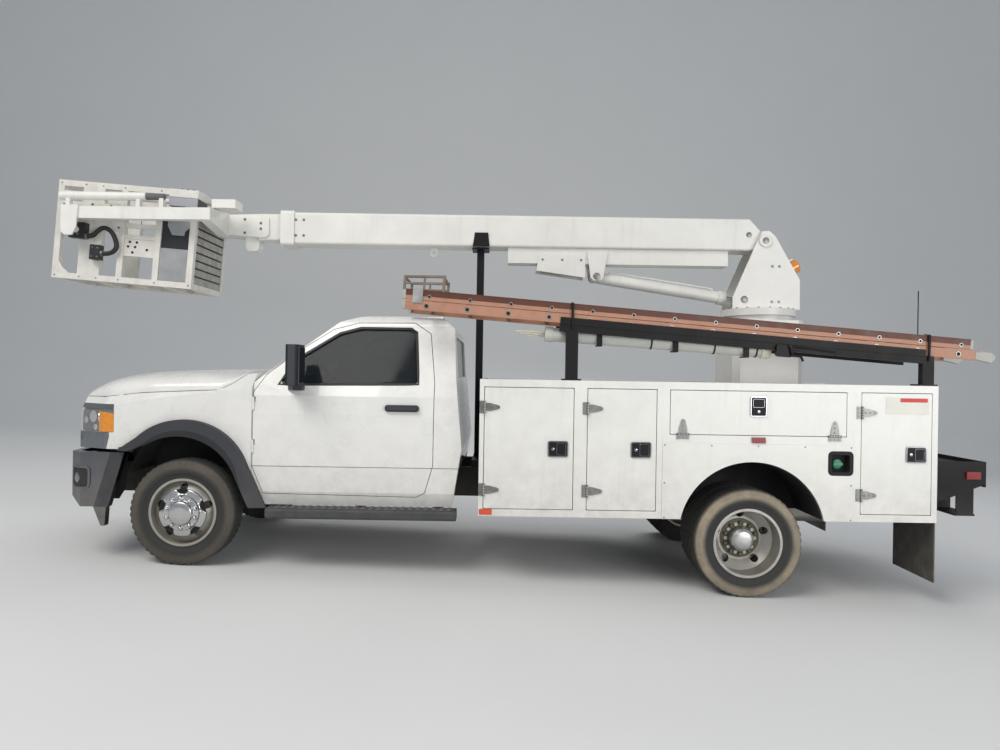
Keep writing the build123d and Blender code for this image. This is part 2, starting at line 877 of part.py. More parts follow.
# Cab doors with their mirrors and handles
door_skin = cab_outer - cab_section(door_wall)
left_door = outline_prism(door_outline, -1200, -600) & door_skin
left_door -= outline_prism(window_outline, -1200, -600, fillet_radius=20)
mirror_x = 880
with BuildPart() as door_fittings:
    add(left_door)
    for foot, split, head in door_hinges:
        lug_room = block(
            (door_hinge_x - 6, door_hinge_x + 16), (door_hinge_y - 14, door_hinge_y + 31),
            (split, head + moving_gap),
        )
        add(lug_room, mode=Mode.SUBTRACT)
        add(hinge_barrel(foot, split))
    with BuildSketch(plan(1524)):
        with Locations((mirror_x, -1178)):
            RectangleRounded(95, 215, 30)
    extrude(amount=300)
    with BuildSketch(plan(1485)):
        with BuildLine():
            Polyline((760, -950), (900, -950), (915, -1120), (850, -1120), close=True)
        make_face()
    extrude(amount=42)
    add(block((1540, 1780), (-cab_half - 22, -cab_half + 30), (1335, 1375)))
    add(block((1575, 1745), (-cab_half - 12, -cab_half + 1), (1340, 1370)), mode=Mode.SUBTRACT)
left_door = door_fittings.part
keep(left_door, "door_left")
keep(to_right(left_door), "door_right")
door_glass_layer = cab_section(glass_inset) - cab_section(glass_inset + glass_thickness)
door_glass = door_glass_layer & outline_prism(window_outline, -1200, -600, fillet_radius=20, grow=-0.5)
keep(door_glass, "door_glass_left")
keep(to_right(door_glass), "door_glass_right")

# Cab inside: dashboard with column and wheel, and two seats
with BuildPart() as dashboard:
    with BuildSketch(side(870)):
        with BuildLine():
            Polyline(
                (510.3, 1180), (510.3, 1490), (600, 1555), (700, 1545), (800, 1480), (820, 1380), (700, 1180),
                close=True,
            )
        make_face()
    extrude(amount=1740)
    wheel_rim = Plane(origin=(980, -480, 1520), z_dir=(0.85, 0, 0.52))
    with BuildSketch(wheel_rim):
        Circle(215)
        Circle(185, mode=Mode.SUBTRACT)
        Rectangle(44, 380)
        Circle(60)
    extrude(amount=26)
    with BuildSketch(wheel_rim):
        Circle(32)
    extrude(amount=-260)
    add(block((510.3, 520), (-300, 300), (cab_floor_top + seat_gap, 1200)))
keep(dashboard.part & cab_solid(cab_wall + seat_gap), "dashboard")

with BuildPart() as seats:
    with BuildSketch(side(740)):
        with BuildLine():
            Polyline(
                (1180, 1120), (1190, 1240), (1640, 1225), (1760, 1830), (1870, 1830),
                (1800, 1120), close=True,
            )
        make_face()
        fillet(vertices(), 35)
    extrude(amount=1480)
    add(block((1100, 1900), (-230, 230), (1100, 1900)), mode=Mode.SUBTRACT)
    add(block((1250, 1740), (-620, -360), (cab_floor_top + seat_gap, 1130)))
    add(block((1250, 1740), (360, 620), (cab_floor_top + seat_gap, 1130)))
keep(seats.part, "seats")

board_front = 640
board_rear = 2088
board_bottom = 505
board_top = 585
with BuildPart() as left_board:
    with BuildSketch(cross(board_front)):
        with Locations((-1000, (board_bottom + board_top) / 2)):
            RectangleRounded(165, board_top - board_bottom, 25)
    extrude(amount=board_rear - board_front)
    for x in (700, 1300, 1900):
        add(block((x, x + 80), (-935, -920), (board_top - 5, 594 - seat_gap)))
with BuildPart() as running_boards:
    add(left_board.part)
    add(to_right(left_board.part))
keep(running_boards.part, "running_boards")

# Service body doors, columns: name, x from, x to, z from, z to, latch x, latch z, latch upright
first_door_rear = body_front + round(0.5125 * (arch_panel_front - body_front))
second_door_rear = arch_panel_front - 48
service_doors = [
    ("locker_1", body_front + 38, first_door_rear, 637, 1532, first_door_rear - 112, 1083, False),
    ("locker_2", first_door_rear + 106, second_door_rear, 637, 1532, second_door_rear - 112, 1085, False),
    ("locker_3", arch_panel_front + 56, arch_panel_rear - 56, 1208, 1531, wheelbase + 44, 1420, True),
    ("locker_4", body_rear - 564, body_rear - 47, 637, 1532, body_rear - 161, 1081, False),
]
hinge_levels = (775, 1386)
drop_hinge_x = (arch_panel_front + 148, arch_panel_rear - 142)
hinge_y = -body_half - hinge_radius - 4
strap_length = 108
# The fixed leaf ends just clear of the turning barrel
leaf_reach = 5.9


def hinge_strap(at, along_x):
    """Barrel and tapered strap of a hinge, on the plane of the door's face."""
    x, z = at
    half = hinge_length / 2
    with BuildPart() as strap:
        if along_x:
            with BuildSketch(cross(x - half)):
                with Locations((hinge_y, z)):
                    Circle(hinge_radius)
            extrude(amount=hinge_length)
            tip_z = z + strap_length
            points = [(x - 30, z - 2), (x + 30, z - 2), (x + 20, tip_z), (x - 20, tip_z)]
        else:
            with BuildSketch(plan(z - half)):
                with Locations((x, hinge_y)):
                    Circle(hinge_radius)
            extrude(amount=hinge_length)
            tip_x = x + strap_length
            points = [(x - 2, z - 30), (tip_x, z - 20), (tip_x, z + 20), (x - 2, z + 30)]
        with BuildSketch(side(-body_half + 3)):
            with BuildLine():
                Polyline(*points, close=True)
            make_face()
        extrude(amount=8)
    return strap.part


def service_door(name, x_from, x_to, z_from, z_to, latch_x, latch_z, upright):
    """One flush door with its strap hinges and paddle latch."""
    with BuildPart() as leaf:
        with BuildSketch(side(-body_half + door_thickness)):
            with Locations(((x_from + x_to) / 2, (z_from + z_to) / 2)):
                RectangleRounded(x_to - x_from, z_to - z_from, 8)
        extrude(amount=door_thickness)
        with BuildSketch(side(-body_half)):
            with Locations((latch_x, latch_z)):
                if upright:
                    RectangleRounded(120, 148, 14)
                else:
                    RectangleRounded(148, 118, 14)
        extrude(amount=7)
        if upright:
            for x in drop_hinge_x:
                add(hinge_strap((x, z_from), True))
        else:
            for z in hinge_levels:
                add(hinge_strap((x_from, z), False))
    return leaf.part


for row in service_doors:
    leaf = service_door(*row)
    keep(leaf, row[0] + "_left")
    keep(to_right(leaf), row[0] + "_right")

# Side packs whose modules meet at the arch panel's edges: compartments open through the
# door frames, and the wheel opening under its header and between its legs
divider_x = first_door_rear + 53
arch_shelf_z = 1170
arch_header_half = 170
compartments = [
    # (x from, x to, z from, z to)
    (body_front + pack_wall, divider_x - pack_wall, body_bottom + pack_wall, body_top - pack_wall),
    (divider_x + pack_wall, arch_panel_front - pack_wall, body_bottom + pack_wall, body_top - pack_wall),
    (arch_panel_front + pack_wall, arch_panel_rear - pack_wall, arch_shelf_z, body_top - pack_wall),
    (arch_panel_rear + pack_wall, body_rear - pack_wall, body_bottom + pack_wall, body_top - pack_wall),
]
filler_x = arch_panel_rear - 95
filler_z = 1060
with BuildPart() as left_pack:
    add(block((body_front, body_rear), (-body_half, -pack_inner), (body_bottom, body_top)))
    for x_from, x_to, z_from, z_to in compartments:
        cavity = block(
            (x_from, x_to), (-body_half + door_thickness + pack_wall, -pack_inner - pack_wall), (z_from, z_to)
        )
        add(cavity, mode=Mode.SUBTRACT)
    for name, x_from, x_to, z_from, z_to, latch_x, latch_z, upright in service_doors:
        opening = block(
            (x_from - door_gap, x_to + door_gap),
            (-body_half - 1, -body_half + door_thickness + pack_wall + 1),
            (z_from - door_gap, z_to + door_gap),
        )
        add(opening, mode=Mode.SUBTRACT)
    with BuildSketch(side(-body_half)):
        with BuildLine():
            Polyline(
                (arch_panel_front, body_bottom), (arch_panel_front, arch_panel_top),
                (arch_panel_rear, arch_panel_top), (arch_panel_rear, body_bottom), close=True,
            )
        make_face()
    extrude(amount=4)
    with BuildSketch(side(-body_half - 10)):
        with Locations((wheel_opening_x, wheel_opening_z)):
            Circle(wheel_opening_radius)
        with Locations((wheel_opening_x, wheel_opening_z - 200)):
            Rectangle(2 * wheel_opening_radius + 60, 400)
    extrude(amount=-700, mode=Mode.SUBTRACT)
    with BuildSketch(side(-body_half - 10)):
        with Locations((filler_x, filler_z - 52)):
            RectangleRounded(150, 150, 30)
    extrude(amount=-70, mode=Mode.SUBTRACT)
    for name, x_from, x_to, z_from, z_to, latch_x, latch_z, upright in service_doors:
        if upright:
            for x in drop_hinge_x:
                leaf_box = block(
                    (x - hinge_length / 2, x + hinge_length / 2), (-body_half - 6, -body_half + 2),
                    (z_from - 45, z_from - leaf_reach),
                )
                add(leaf_box)
        else:
            for z in hinge_levels:
                leaf_box = block(
                    (x_from - 37, x_from - leaf_reach), (-body_half - 6, -body_half + 2),
                    (z - hinge_length / 2, z + hinge_length / 2),
                )
                add(leaf_box)
    seam_y = (-body_half - 10, -pack_inner + 1)
    for seam_x in (arch_panel_front - seat_gap, arch_panel_rear):
        add(block((seam_x, seam_x + seat_gap), seam_y, (body_bottom - 1, body_top + 1)), mode=Mode.SUBTRACT)
    for seam_x in (wheel_opening_x - arch_header_half, wheel_opening_x + arch_header_half):
        add(block((seam_x, seam_x + seat_gap), seam_y, (body_bottom, arch_panel_top)), mode=Mode.SUBTRACT)
    arch_x_span = (arch_panel_front - 1, arch_panel_rear + 1)
    add(block(arch_x_span, seam_y, (arch_panel_top, arch_panel_top + seat_gap)), mode=Mode.SUBTRACT)
keep(left_pack.part, "side_pack_left")
keep(to_right(left_pack.part), "side_pack_right")

# Deck between the packs, its cross channels, bulkhead and tail shelf
shelf_side = [
    (body_rear + seat_gap, deck_top + 30), (tail_shelf_rear, deck_top + 30), (tail_shelf_rear, 863),
    (body_rear + 95, 742), (body_rear + seat_gap, 727),
]
step_x = body_rear + 185
with BuildPart() as deck:
    inner = pack_inner - seat_gap
    add(block((body_front, body_rear), (-inner, inner), (deck_top - deck_thickness, deck_top)))
    add(block((body_front, body_front + 24), (-inner, inner), (deck_top + seat_gap, body_top)))
    for x in (2400, 3100, 3700, 4400, 5000, 5500):
        add(block((x, x + 90), (-inner, inner), (rail_top + seat_gap, deck_top - deck_thickness + 1)))
    add(block((body_rear + seat_gap, tail_shelf_rear), (-tail_shelf_half, tail_shelf_half),
              (deck_top - deck_thickness, deck_top)))
    for hand in (-1, 1):
        outer_face = -tail_shelf_half if hand < 0 else tail_shelf_half - 10
        with BuildSketch(side(outer_face + 10)):
            with BuildLine():
                Polyline(*shelf_side, close=True)
            make_face()
        extrude(amount=10)
        low, high = sorted((hand * 830, hand * 1130))
        add(block((step_x, step_x + 150), (low, high), (620, 634)))
        for y in (low, high - 12):
            add(block((step_x + 10, step_x + 140), (y, y + 12), (625, deck_top - 10)))
    shelf_y = (-tail_shelf_half, tail_shelf_half)
    add(block((tail_shelf_rear - 12, tail_shelf_rear), shelf_y, (840, deck_top + 30)))
    add(block((rail_rear + seat_gap, tail_shelf_rear - 5), (-150, 150), (560, 860)))
    # Boom rest: a post on its own cross channel, ending in a flat plate
    rest_x = (rest_post_x - 40, rest_post_x + 40)
    add(block((rest_post_x - 32, rest_post_x + 32), (-32, 32), (rail_top + 40, rest_post_top)))
    add(block((rest_post_x, body_front - seat_gap), (-32, 32), (deck_top - deck_thickness, deck_top)))
    add(block(rest_x, (-rail_half, rail_half), (rail_top + seat_gap, rail_top + 60)))
    add(block((rest_post_x - 75, rest_post_x + 75), (-110, 110), (rest_post_top - 12, rest_post_top)))
keep(deck.part, "deck")

with BuildPart() as tail_lamps:
    for hand in (-1, 1):
        low, high = sorted((hand * 900, hand * 1080))
        add(block((tail_shelf_rear + seat_gap, tail_shelf_rear + 25), (low, high), (880, 970)))
        low, high = sorted((hand * (tail_shelf_half + seat_gap), hand * (tail_shelf_half + 18)))
        add(block((body_rear + 250, body_rear + 355), (low, high), (900, 955)))
        low, high = sorted((hand * (body_half + seat_gap), hand * (body_half + 16)))
        add(block((wheelbase - 1, wheelbase + 97), (low, high), (1150, 1193)))
keep(tail_lamps.part, "tail_lamps")

with BuildPart() as mud_flaps:
    for hand in (-1, 1):
        low, high = sorted((hand * 640, hand * 1210))
        add(block((body_rear - 18, body_rear - 8), (low, high), (135, body_bottom - seat_gap)))
keep(mud_flaps.part, "mud_flaps")

with BuildPart() as pedestal:
    with BuildSketch(plan(deck_top + seat_gap)):
        with Locations((turret_x, 0)):
            Rectangle(pedestal_width, pedestal_width)
        chamfer(vertices(), 55)
    extrude(amount=pedestal_top - deck_top - seat_gap)
    with BuildSketch(plan(deck_top + seat_gap)):
        with Locations((turret_x, 0)):
            Rectangle(pedestal_width + 160, pedestal_width + 160)
    extrude(amount=20)
    with BuildSketch(plan(pedestal_top)):
        with Locations((turret_x, 0)):
            Circle(290)
    extrude(amount=bearing_top - pedestal_top)
keep(pedestal.part, "pedestal")

# Turret: turntable disc, two side plates with a rounded head, and rod pin stubs
turret_outer = turret_plate_inner + turret_plate_thickness
plate_foot = 2241
rod_stub_half = 55
with BuildPart() as turret:
    with BuildSketch(plan(bearing_top + seat_gap)):
        with Locations((turret_x, 0)):
            Circle(325)
    extrude(amount=plate_foot - bearing_top - seat_gap)
    for face in (-turret_plate_inner, turret_outer):
        with BuildSketch(side(face)):
            with BuildLine():
                Polyline(
                    (4446, plate_foot - 2), (4446, 2338), (4640, 2800), (4700, 2925), (4760, 2930),
                    (4815, 2880), (5033, 2502), (5037, plate_foot - 2),
                    close=True,
                )
            make_face()
            with Locations((boom_pivot_x, boom_pivot_z)):
                Circle(pivot_pin_radius + seat_gap, mode=Mode.SUBTRACT)
        extrude(amount=turret_plate_thickness)
    for low, high in ((-turret_plate_inner - 1, -rod_stub_half), (rod_stub_half, turret_plate_inner + 1)):
        with BuildSketch(side(high)):
            with Locations((rod_pin_x, rod_pin_z)):
                Circle(32)
        extrude(amount=high - low)
    with BuildSketch(side(turret_plate_inner + 1)):
        with BuildLine():
            Polyline(
                (4905, 2700), (5020, 2502), (5025, 2260), (5013, 2260), (5008, 2500), (4894, 2695),
                close=True,
            )
        make_face()
    extrude(amount=2 * turret_plate_inner + 2)
keep(turret.part, "turret")

beacon_plane = Plane(origin=(4975, 0, 2604), x_dir=(0, 1, 0), z_dir=(0.866, 0, 0.5))
with BuildPart() as beacon:
    with BuildSketch(beacon_plane.offset(-12)):
        Circle(74)
    extrude(amount=43)
    with BuildSketch(beacon_plane.offset(30)):
        Circle(66)
    extrude(amount=80)
    chamfer(faces().sort_by(Axis.X)[-1].edges(), 15)
keep(beacon.part, "beacon")

# Outer boom: a hollow tube with a cut heel, wear pads at its mouth and its pivot pin
boom_half = boom_width / 2
boom_middle = (boom_bottom + boom_top) / 2
boom_height = boom_top - boom_bottom
with BuildPart() as outer_boom:
    with BuildSketch(cross(boom_front)):
        with Locations((0, boom_middle)):
            RectangleRounded(boom_width, boom_height, 22)
    extrude(amount=turret_x - boom_front)
    with BuildSketch(side(boom_half)):
        with BuildLine():
            Polyline((4599, 3060), (4599, 3033), (4726, 2896), (4760, 3060), close=True)
        make_face()
    extrude(amount=boom_width, mode=Mode.SUBTRACT)
    with BuildSketch(cross(boom_front - 5)):
        with Locations((0, boom_middle)):
            Rectangle(boom_width - 2 * boom_wall, boom_height - 2 * boom_wall)
    extrude(amount=4600 - boom_front, mode=Mode.SUBTRACT)
    pad_x = (boom_front + 5, boom_front + 85)
    cavity_half = boom_half - boom_wall + 1
    inner_half = inner_width / 2 + seat_gap
    add(block(pad_x, (-60, 60), (boom_bottom + boom_wall - 1, inner_bottom - seat_gap)))
    add(block(pad_x, (-60, 60), (inner_top + seat_gap, boom_top - boom_wall + 1)))
    add(block(pad_x, (-cavity_half, -inner_half), (2850, 2970)))
    add(block(pad_x, (inner_half, cavity_half), (2850, 2970)))
    with BuildSketch(side(turret_outer + 12)):
        with Locations((boom_pivot_x, boom_pivot_z)):
            Circle(pivot_pin_radius)
    extrude(amount=2 * turret_outer + 24)
keep(outer_boom.part, "outer_boom")

# Fittings on the outer boom: collar, under-channel with its shield and the cylinder's
# ears, side plates over the rest, and the lifting ring
with BuildPart() as boom_fittings:
    with BuildSketch(cross(boom_front)):
        with Locations((0, boom_middle)):
            RectangleRounded(boom_width + 26, boom_height + 26, 26)
            RectangleRounded(boom_width + 2 * seat_gap, boom_height + 2 * seat_gap, 22, mode=Mode.SUBTRACT)
    extrude(amount=120)
    fitting_top = boom_bottom - seat_gap
    add(block((2462, 4420), (-channel_half, channel_half), (channel_bottom, fitting_top)))
    with BuildSketch(side(108)):
        with BuildLine():
            Polyline((2741, 2700), (2716, 2557), (3149, 2500), (3149, 2700), close=True)
        make_face()
    extrude(amount=216)
    add(block((2750, 3160), (-98, 98), (2400, channel_bottom)), mode=Mode.SUBTRACT)
    for face in (-channel_half, channel_half + 20):
        with BuildSketch(side(face)):
            with BuildLine():
                Polyline(
                    (3165, 2733), (3200, 2500), (3225, 2478), (3285, 2478), (3310, 2500), (3348, 2733),
                    close=True,
                )
            make_face()
        extrude(amount=20)
    with BuildSketch(side(channel_half + 5)):
        with Locations((barrel_pin_x, barrel_pin_z)):
            Circle(cylinder_pin_radius)
    extrude(amount=2 * channel_half + 10)
    for face in (-boom_half - seat_gap, boom_half + seat_gap + 12):
        with BuildSketch(side(face)):
            with BuildLine():
                Polyline((2165, 2880), (2150, 2781), (2298, 2781), (2283, 2880), close=True)
            make_face()
        extrude(amount=12)
    with BuildSketch(side(8)):
        with Locations((1796, 2718)):
            Circle(38)
        with Locations((1796, fitting_top - 15)):
            Rectangle(60, 30)
        with Locations((1796, 2715)):
            Circle(20, mode=Mode.SUBTRACT)
    extrude(amount=16)
keep(boom_fittings.part, "boom_fittings")

# Inner boom section with rear wear pads that ride in the outer one
with BuildPart() as inner_boom:
    with BuildSketch(cross(inner_front)):
        with Locations((0, (inner_bottom + inner_top) / 2)):
            RectangleRounded(inner_width, inner_top - inner_bottom, 14)
            RectangleRounded(inner_width - 16, inner_top - inner_bottom - 16, 8, mode=Mode.SUBTRACT)
    extrude(amount=inner_rear - inner_front)
    rear_pad = (inner_rear - 90, inner_rear)
    wall_y = boom_half - boom_wall - seat_gap
    add(block(rear_pad, (-60, 60), (boom_bottom + boom_wall + seat_gap, inner_bottom + 2)))
    for hand in (-1, 1):
        low, high = sorted((hand * (inner_width / 2 - 2), hand * wall_y))
        add(block(rear_pad, (low, high), (2850, 2970)))
keep(inner_boom.part, "inner_boom")

# Boom tip: bolted plates, the tapered cross arm and the beam beside the platform
with BuildPart() as platform_arm:
    plate_y = inner_width / 2 + seat_gap
    for face in (-plate_y, plate_y + 16):
        with BuildSketch(side(face)):
            with BuildLine():
                Polyline(
                    (-26, 2830), (-26, 3010), (300, 3020), (337, 2985), (337, 2840), (300, 2812),
                    close=True,
                )
            make_face()
        extrude(amount=16)
    add(block((-26, inner_front - seat_gap), (-plate_y - 1, plate_y + 1), (2830, 3010)))
    with BuildSketch(cross(-26)):
        with BuildLine():
            Polyline(
                (plate_y, 3010), (plate_y, 2830), (-plate_y - 10, 2817), (beam_near, beam_bottom),
                (beam_near, beam_top), (-plate_y - 10, 3020), close=True,
            )
        make_face()
    extrude(amount=-90)
    add(block((beam_front, -26), (beam_near, beam_near + beam_width), (beam_bottom, beam_top)))
    with BuildSketch(side(beam_near)):
        with BuildLine():
            Polyline(
                (beam_front, 2985), (beam_front, 2760), (-1230, 2735), (-1170, 2735), (-1135, 2800),
                (-1120, 2985), close=True,
            )
        make_face()
    extrude(amount=16)
    with BuildSketch(side(platform_near - 30)):
        with Locations((level_pivot_x, level_pivot_z)):
            Circle(level_pin_radius)
    extrude(amount=platform_near - 30 - beam_near + 14)
    add(block((-50, 150), (-430, -250), (3000, 3072)))
    # Levelling cylinder on the beam: barrel, rod end and their saddles
    with BuildSketch(cross(leveller_front)):
        with Locations((leveller_y, leveller_z)):
            Circle(leveller_radius)
    extrude(amount=720)
    with BuildSketch(cross(leveller_front + 719)):
        with Locations((leveller_y, leveller_z)):
            Circle(leveller_radius - 9)
    extrude(amount=150)
    for x in (leveller_front + 55, leveller_front + 640, leveller_front + 835):
        add(block((x, x + 34), (leveller_y - 25, leveller_y + 25), (beam_top - 1, leveller_z - 16)))
    with BuildSketch(side(60)):
        with BuildLine():
            Polyline((119, 2835), (119, 2720), (145, 2699), (220, 2699), (238, 2730), (238, 2835), close=True)
        make_face()
    extrude(amount=120)
keep(platform_arm.part, "platform_arm")

# Platform, drawn level in its own frame and then tipped nose up by its tilt
platform_pose = Pos(platform_corner_x, 0, platform_corner_z) * Rot(0, platform_tilt, 0)
tube = platform_tube
mid_y = (platform_near + platform_far) / 2
platform_width = platform_far - platform_near
# Posts of one side, columns: x from, x to
post_spans = [(0, 50), (215, 400), (545, 595), (855, 905), (1147, 1197)]


def platform_ring(z_from, z_to, thickness):
    """A rectangular ring of square tube round the platform."""
    with BuildPart() as ring:
        with BuildSketch(plan(z_from)):
            with Locations((platform_length / 2, mid_y)):
                Rectangle(platform_length, platform_width)
                Rectangle(platform_length - 2 * thickness, platform_width - 2 * thickness, mode=Mode.SUBTRACT)
        extrude(amount=z_to - z_from)
    return ring.part


with BuildPart() as platform_frame:
    add(platform_ring(0, tube, tube))
    add(platform_ring(platform_height - tube, platform_height, tube))
    add(platform_ring(620, 665, 40))
    for y_from, y_to in ((platform_near, platform_near + tube), (platform_far - tube, platform_far)):
        for x_from, x_to in post_spans:
            add(block((x_from, x_to), (y_from, y_to), (10, platform_height - 10)))
    add(block((20, platform_length - 20), (platform_near + 20, platform_far - 20), (tube - 8, tube)))
    for x in (300, 620, 900):
        add(block((x, x + 40), (platform_near + 20, platform_far - 20), (2, tube)))
    add(block((40, 560), (platform_near, platform_near + 20), (440, 660)))
console_x = 950
console_y = platform_near + 205
console_z = 695
level_local = platform_pose.inverse() * Pos(level_pivot_x, 0, level_pivot_z)
pivot_u = level_local.position.X
pivot_w = level_local.position.Z
with BuildPart() as platform_hub:
    add(platform_frame.part)
    add(block((pivot_u - 90, pivot_u + 90), (platform_near, platform_near + 24), (360, 480)))
    add(
        block(
            (console_x, platform_length + 1), (platform_near - 1, console_y),
            (console_z, platform_height + 1),
        ),
        mode=Mode.SUBTRACT,
    )
keep(platform_pose * platform_hub.part, "platform_frame")

with BuildPart() as platform_panels:
    panel_x = (905 + seat_gap, 1147 - seat_gap)
    add(block(panel_x, (platform_near + 12, platform_near + 20), (tube, 330)))
    louvre_y = (platform_near + tube + seat_gap, platform_far - tube - seat_gap)
    add(block((platform_length - 20, platform_length - 10), louvre_y, (tube + seat_gap, 620 - seat_gap)))
    for index in range(7):
        z = 90 + index * 72
        add(block((platform_length - 34, platform_length - 15), louvre_y, (z, z + 30)))
    add(block(
        (console_x + seat_gap, platform_length), (platform_near, console_y - seat_gap),
        (console_z + seat_gap, platform_height),
    ))
    box_y = (platform_near - 68, platform_near - seat_gap)
    add(block((345, 430), box_y, (175, 300)))
    add(block((155, 290), box_y, (345, 480)))
    with BuildSketch(side(platform_near - 10)):
        with Locations((pivot_u, pivot_w)):
            Circle(level_pin_radius + seat_gap)
    extrude(amount=60, mode=Mode.SUBTRACT)
keep(platform_pose * platform_panels.part, "platform_panels")

# Control hose, in the platform's own frame, from the side block to the valve box
hose_radius = 20
hose_y = platform_near - 38
hose_route = [
    (290 + seat_gap, hose_y, 370), (345, hose_y, 370), (385, hose_y - 6, 420), (440, hose_y - 10, 458),
    (510, hose_y - 8, 425), (550, hose_y - 6, 350), (562, hose_y - 4, 285), (505, hose_y, 232),
    (430 + seat_gap, hose_y, 232),
]


def bend_radii(route):
    """Each bend's radius: 0.45 of the shorter run over the tangent of half the turn."""
    radii = []
    for before, here, after in zip(route, route[1:], route[2:]):
        run_in = Vector(*here) - Vector(*before)
        run_out = Vector(*after) - Vector(*here)
        turn = math.radians(run_in.get_angle(run_out))
        radii.append(0.45 * min(run_in.length, run_out.length) / math.tan(turn / 2))
    return radii


hose_radii = bend_radii(hose_route)
with BuildPart() as platform_hose:
    with BuildLine() as hose_line:
        FilletPolyline(*hose_route, radius=hose_radii)
    first_run = Vector(*hose_route[1]) - Vector(*hose_route[0])
    with BuildSketch(Plane(origin=hose_route[0], z_dir=first_run)):
        Circle(hose_radius)
    sweep()
hose_length = hose_line.wires()[0].length
print("hose bends:", [round(radius) for radius in hose_radii], "length", round(hose_length))
print("hose volume share:", round(platform_hose.part.volume / (math.pi * hose_radius**2 * hose_length), 4))
keep(platform_pose * platform_hose.part, "platform_hose")

# Lift cylinder: barrel on the boom's ears, rod down to the turret's stubs
cylinder_start = Vector(barrel_pin_x, 0, barrel_pin_z)
cylinder_end = Vector(rod_pin_x, 0, rod_pin_z)
cylinder_run = (cylinder_end - cylinder_start).normalized()
closed_length = (cylinder_end - cylinder_start).length
barrel_length = closed_length - 130
piston_start = 130


def along_cylinder(distance):
    return Plane(origin=cylinder_start + cylinder_run * distance, x_dir=(0, 1, 0), z_dir=cylinder_run)


with BuildPart() as cylinder_barrel:
    with BuildSketch(along_cylinder(30)):
        Circle(barrel_radius)
    extrude(amount=barrel_length - 30)
    with BuildSketch(side(60)):
        with Locations((barrel_pin_x, barrel_pin_z)):
            Circle(44)
    extrude(amount=120)
    with BuildSketch(side(61)):
        with Locations((barrel_pin_x, barrel_pin_z)):
            Circle(cylinder_pin_radius + seat_gap)
    extrude(amount=122, mode=Mode.SUBTRACT)
    with BuildSketch(along_cylinder(piston_start - 20)):
        Circle(barrel_radius - 8)
    extrude(amount=barrel_length - 30 - piston_start + 20, mode=Mode.SUBTRACT)
    with BuildSketch(along_cylinder(barrel_length - 40)):
        Circle(rod_radius + seat_gap)
    extrude(amount=60, mode=Mode.SUBTRACT)
keep(cylinder_barrel.part, "cylinder_barrel")

with BuildPart() as cylinder_rod:
    with BuildSketch(along_cylinder(piston_start)):
        Circle(rod_radius)
    extrude(amount=closed_length - piston_start - 20)
    with BuildSketch(along_cylinder(piston_start)):
        Circle(barrel_radius - 8 - seat_gap)
    extrude(amount=50)
    with BuildSketch(side(rod_stub_half - 5)):
        with Locations((rod_pin_x, rod_pin_z)):
            Circle(38)
    extrude(amount=2 * rod_stub_half - 10)
    with BuildSketch(side(rod_stub_half)):
        with Locations((rod_pin_x, rod_pin_z)):
            Circle(24)
    extrude(amount=2 * rod_stub_half, mode=Mode.SUBTRACT)
keep(cylinder_rod.part, "cylinder_rod")


# Ladder and rack are drawn in a plane that follows the ladder's slope
def slope_plane(y):
    lean = math.radians(ladder_slope)
    return Plane(
        origin=(ladder_front_x, y, ladder_front_z),
        x_dir=(math.cos(lean), 0, -math.sin(lean)),
        z_dir=(0, -1, 0),
    )


section_height = ladder_height / 2 - 3
rung_count = int(ladder_length / rung_pitch)
with BuildPart() as ladder:
    for y_outer in (ladder_near, ladder_far - stile_width):
        with BuildSketch(slope_plane(y_outer + stile_width)):
            with Locations((ladder_length / 2, section_height / 2)):
                Rectangle(ladder_length, section_height)
            with Locations((ladder_length / 2 - 40, ladder_height - section_height / 2)):
                Rectangle(ladder_length - 80, section_height)
            with Locations((160, ladder_height / 2), (ladder_length - 160, ladder_height / 2)):
                Rectangle(120, ladder_height)
        extrude(amount=stile_width)
    with BuildSketch(slope_plane(ladder_far - stile_width - seat_gap)):
        for index in range(rung_count):
            along = (index + 0.6) * rung_pitch
            with Locations((along, section_height / 2), (along + 60, ladder_height - section_height / 2)):
                RegularPolygon(radius=rung_radius, side_count=8)
    extrude(amount=ladder_far - ladder_near - 2 * (stile_width + seat_gap))
    for y in (ladder_near - 4, ladder_far - stile_width - 4):
        with BuildSketch(slope_plane(y + stile_width + 8)):
            with BuildLine():
                Polyline(
                    (ladder_length - 60, 6), (ladder_length + 60, -12), (ladder_length + 95, 30),
                    (ladder_length + 60, 66), (ladder_length - 60, 60), close=True,
                )
            make_face()
        extrude(amount=stile_width + 8)
keep(ladder.part, "ladder")

rack_posts = [(2895, 2985), (5543, 5629)]
rack_beam_height = 60
post_y = (-1200, -1140)


conduit_radius = 52
conduit_y = post_y[1] + conduit_radius + seat_gap
conduit_start = Vector(2772, conduit_y, 1938)
conduit_end = Vector(4440, conduit_y, 1836)
saddle_x = (3150, 3720, 4250)


def under_ladder(x):
    """Height of the ladder's underside at x."""
    return ladder_front_z - (x - ladder_front_x) * math.tan(math.radians(ladder_slope))


def conduit_height(x):
    """Height of the conduit tube's centre line at x."""
    share = (x - conduit_start.X) / (conduit_end.X - conduit_start.X)
    return conduit_start.Z + share * (conduit_end.Z - conduit_start.Z)


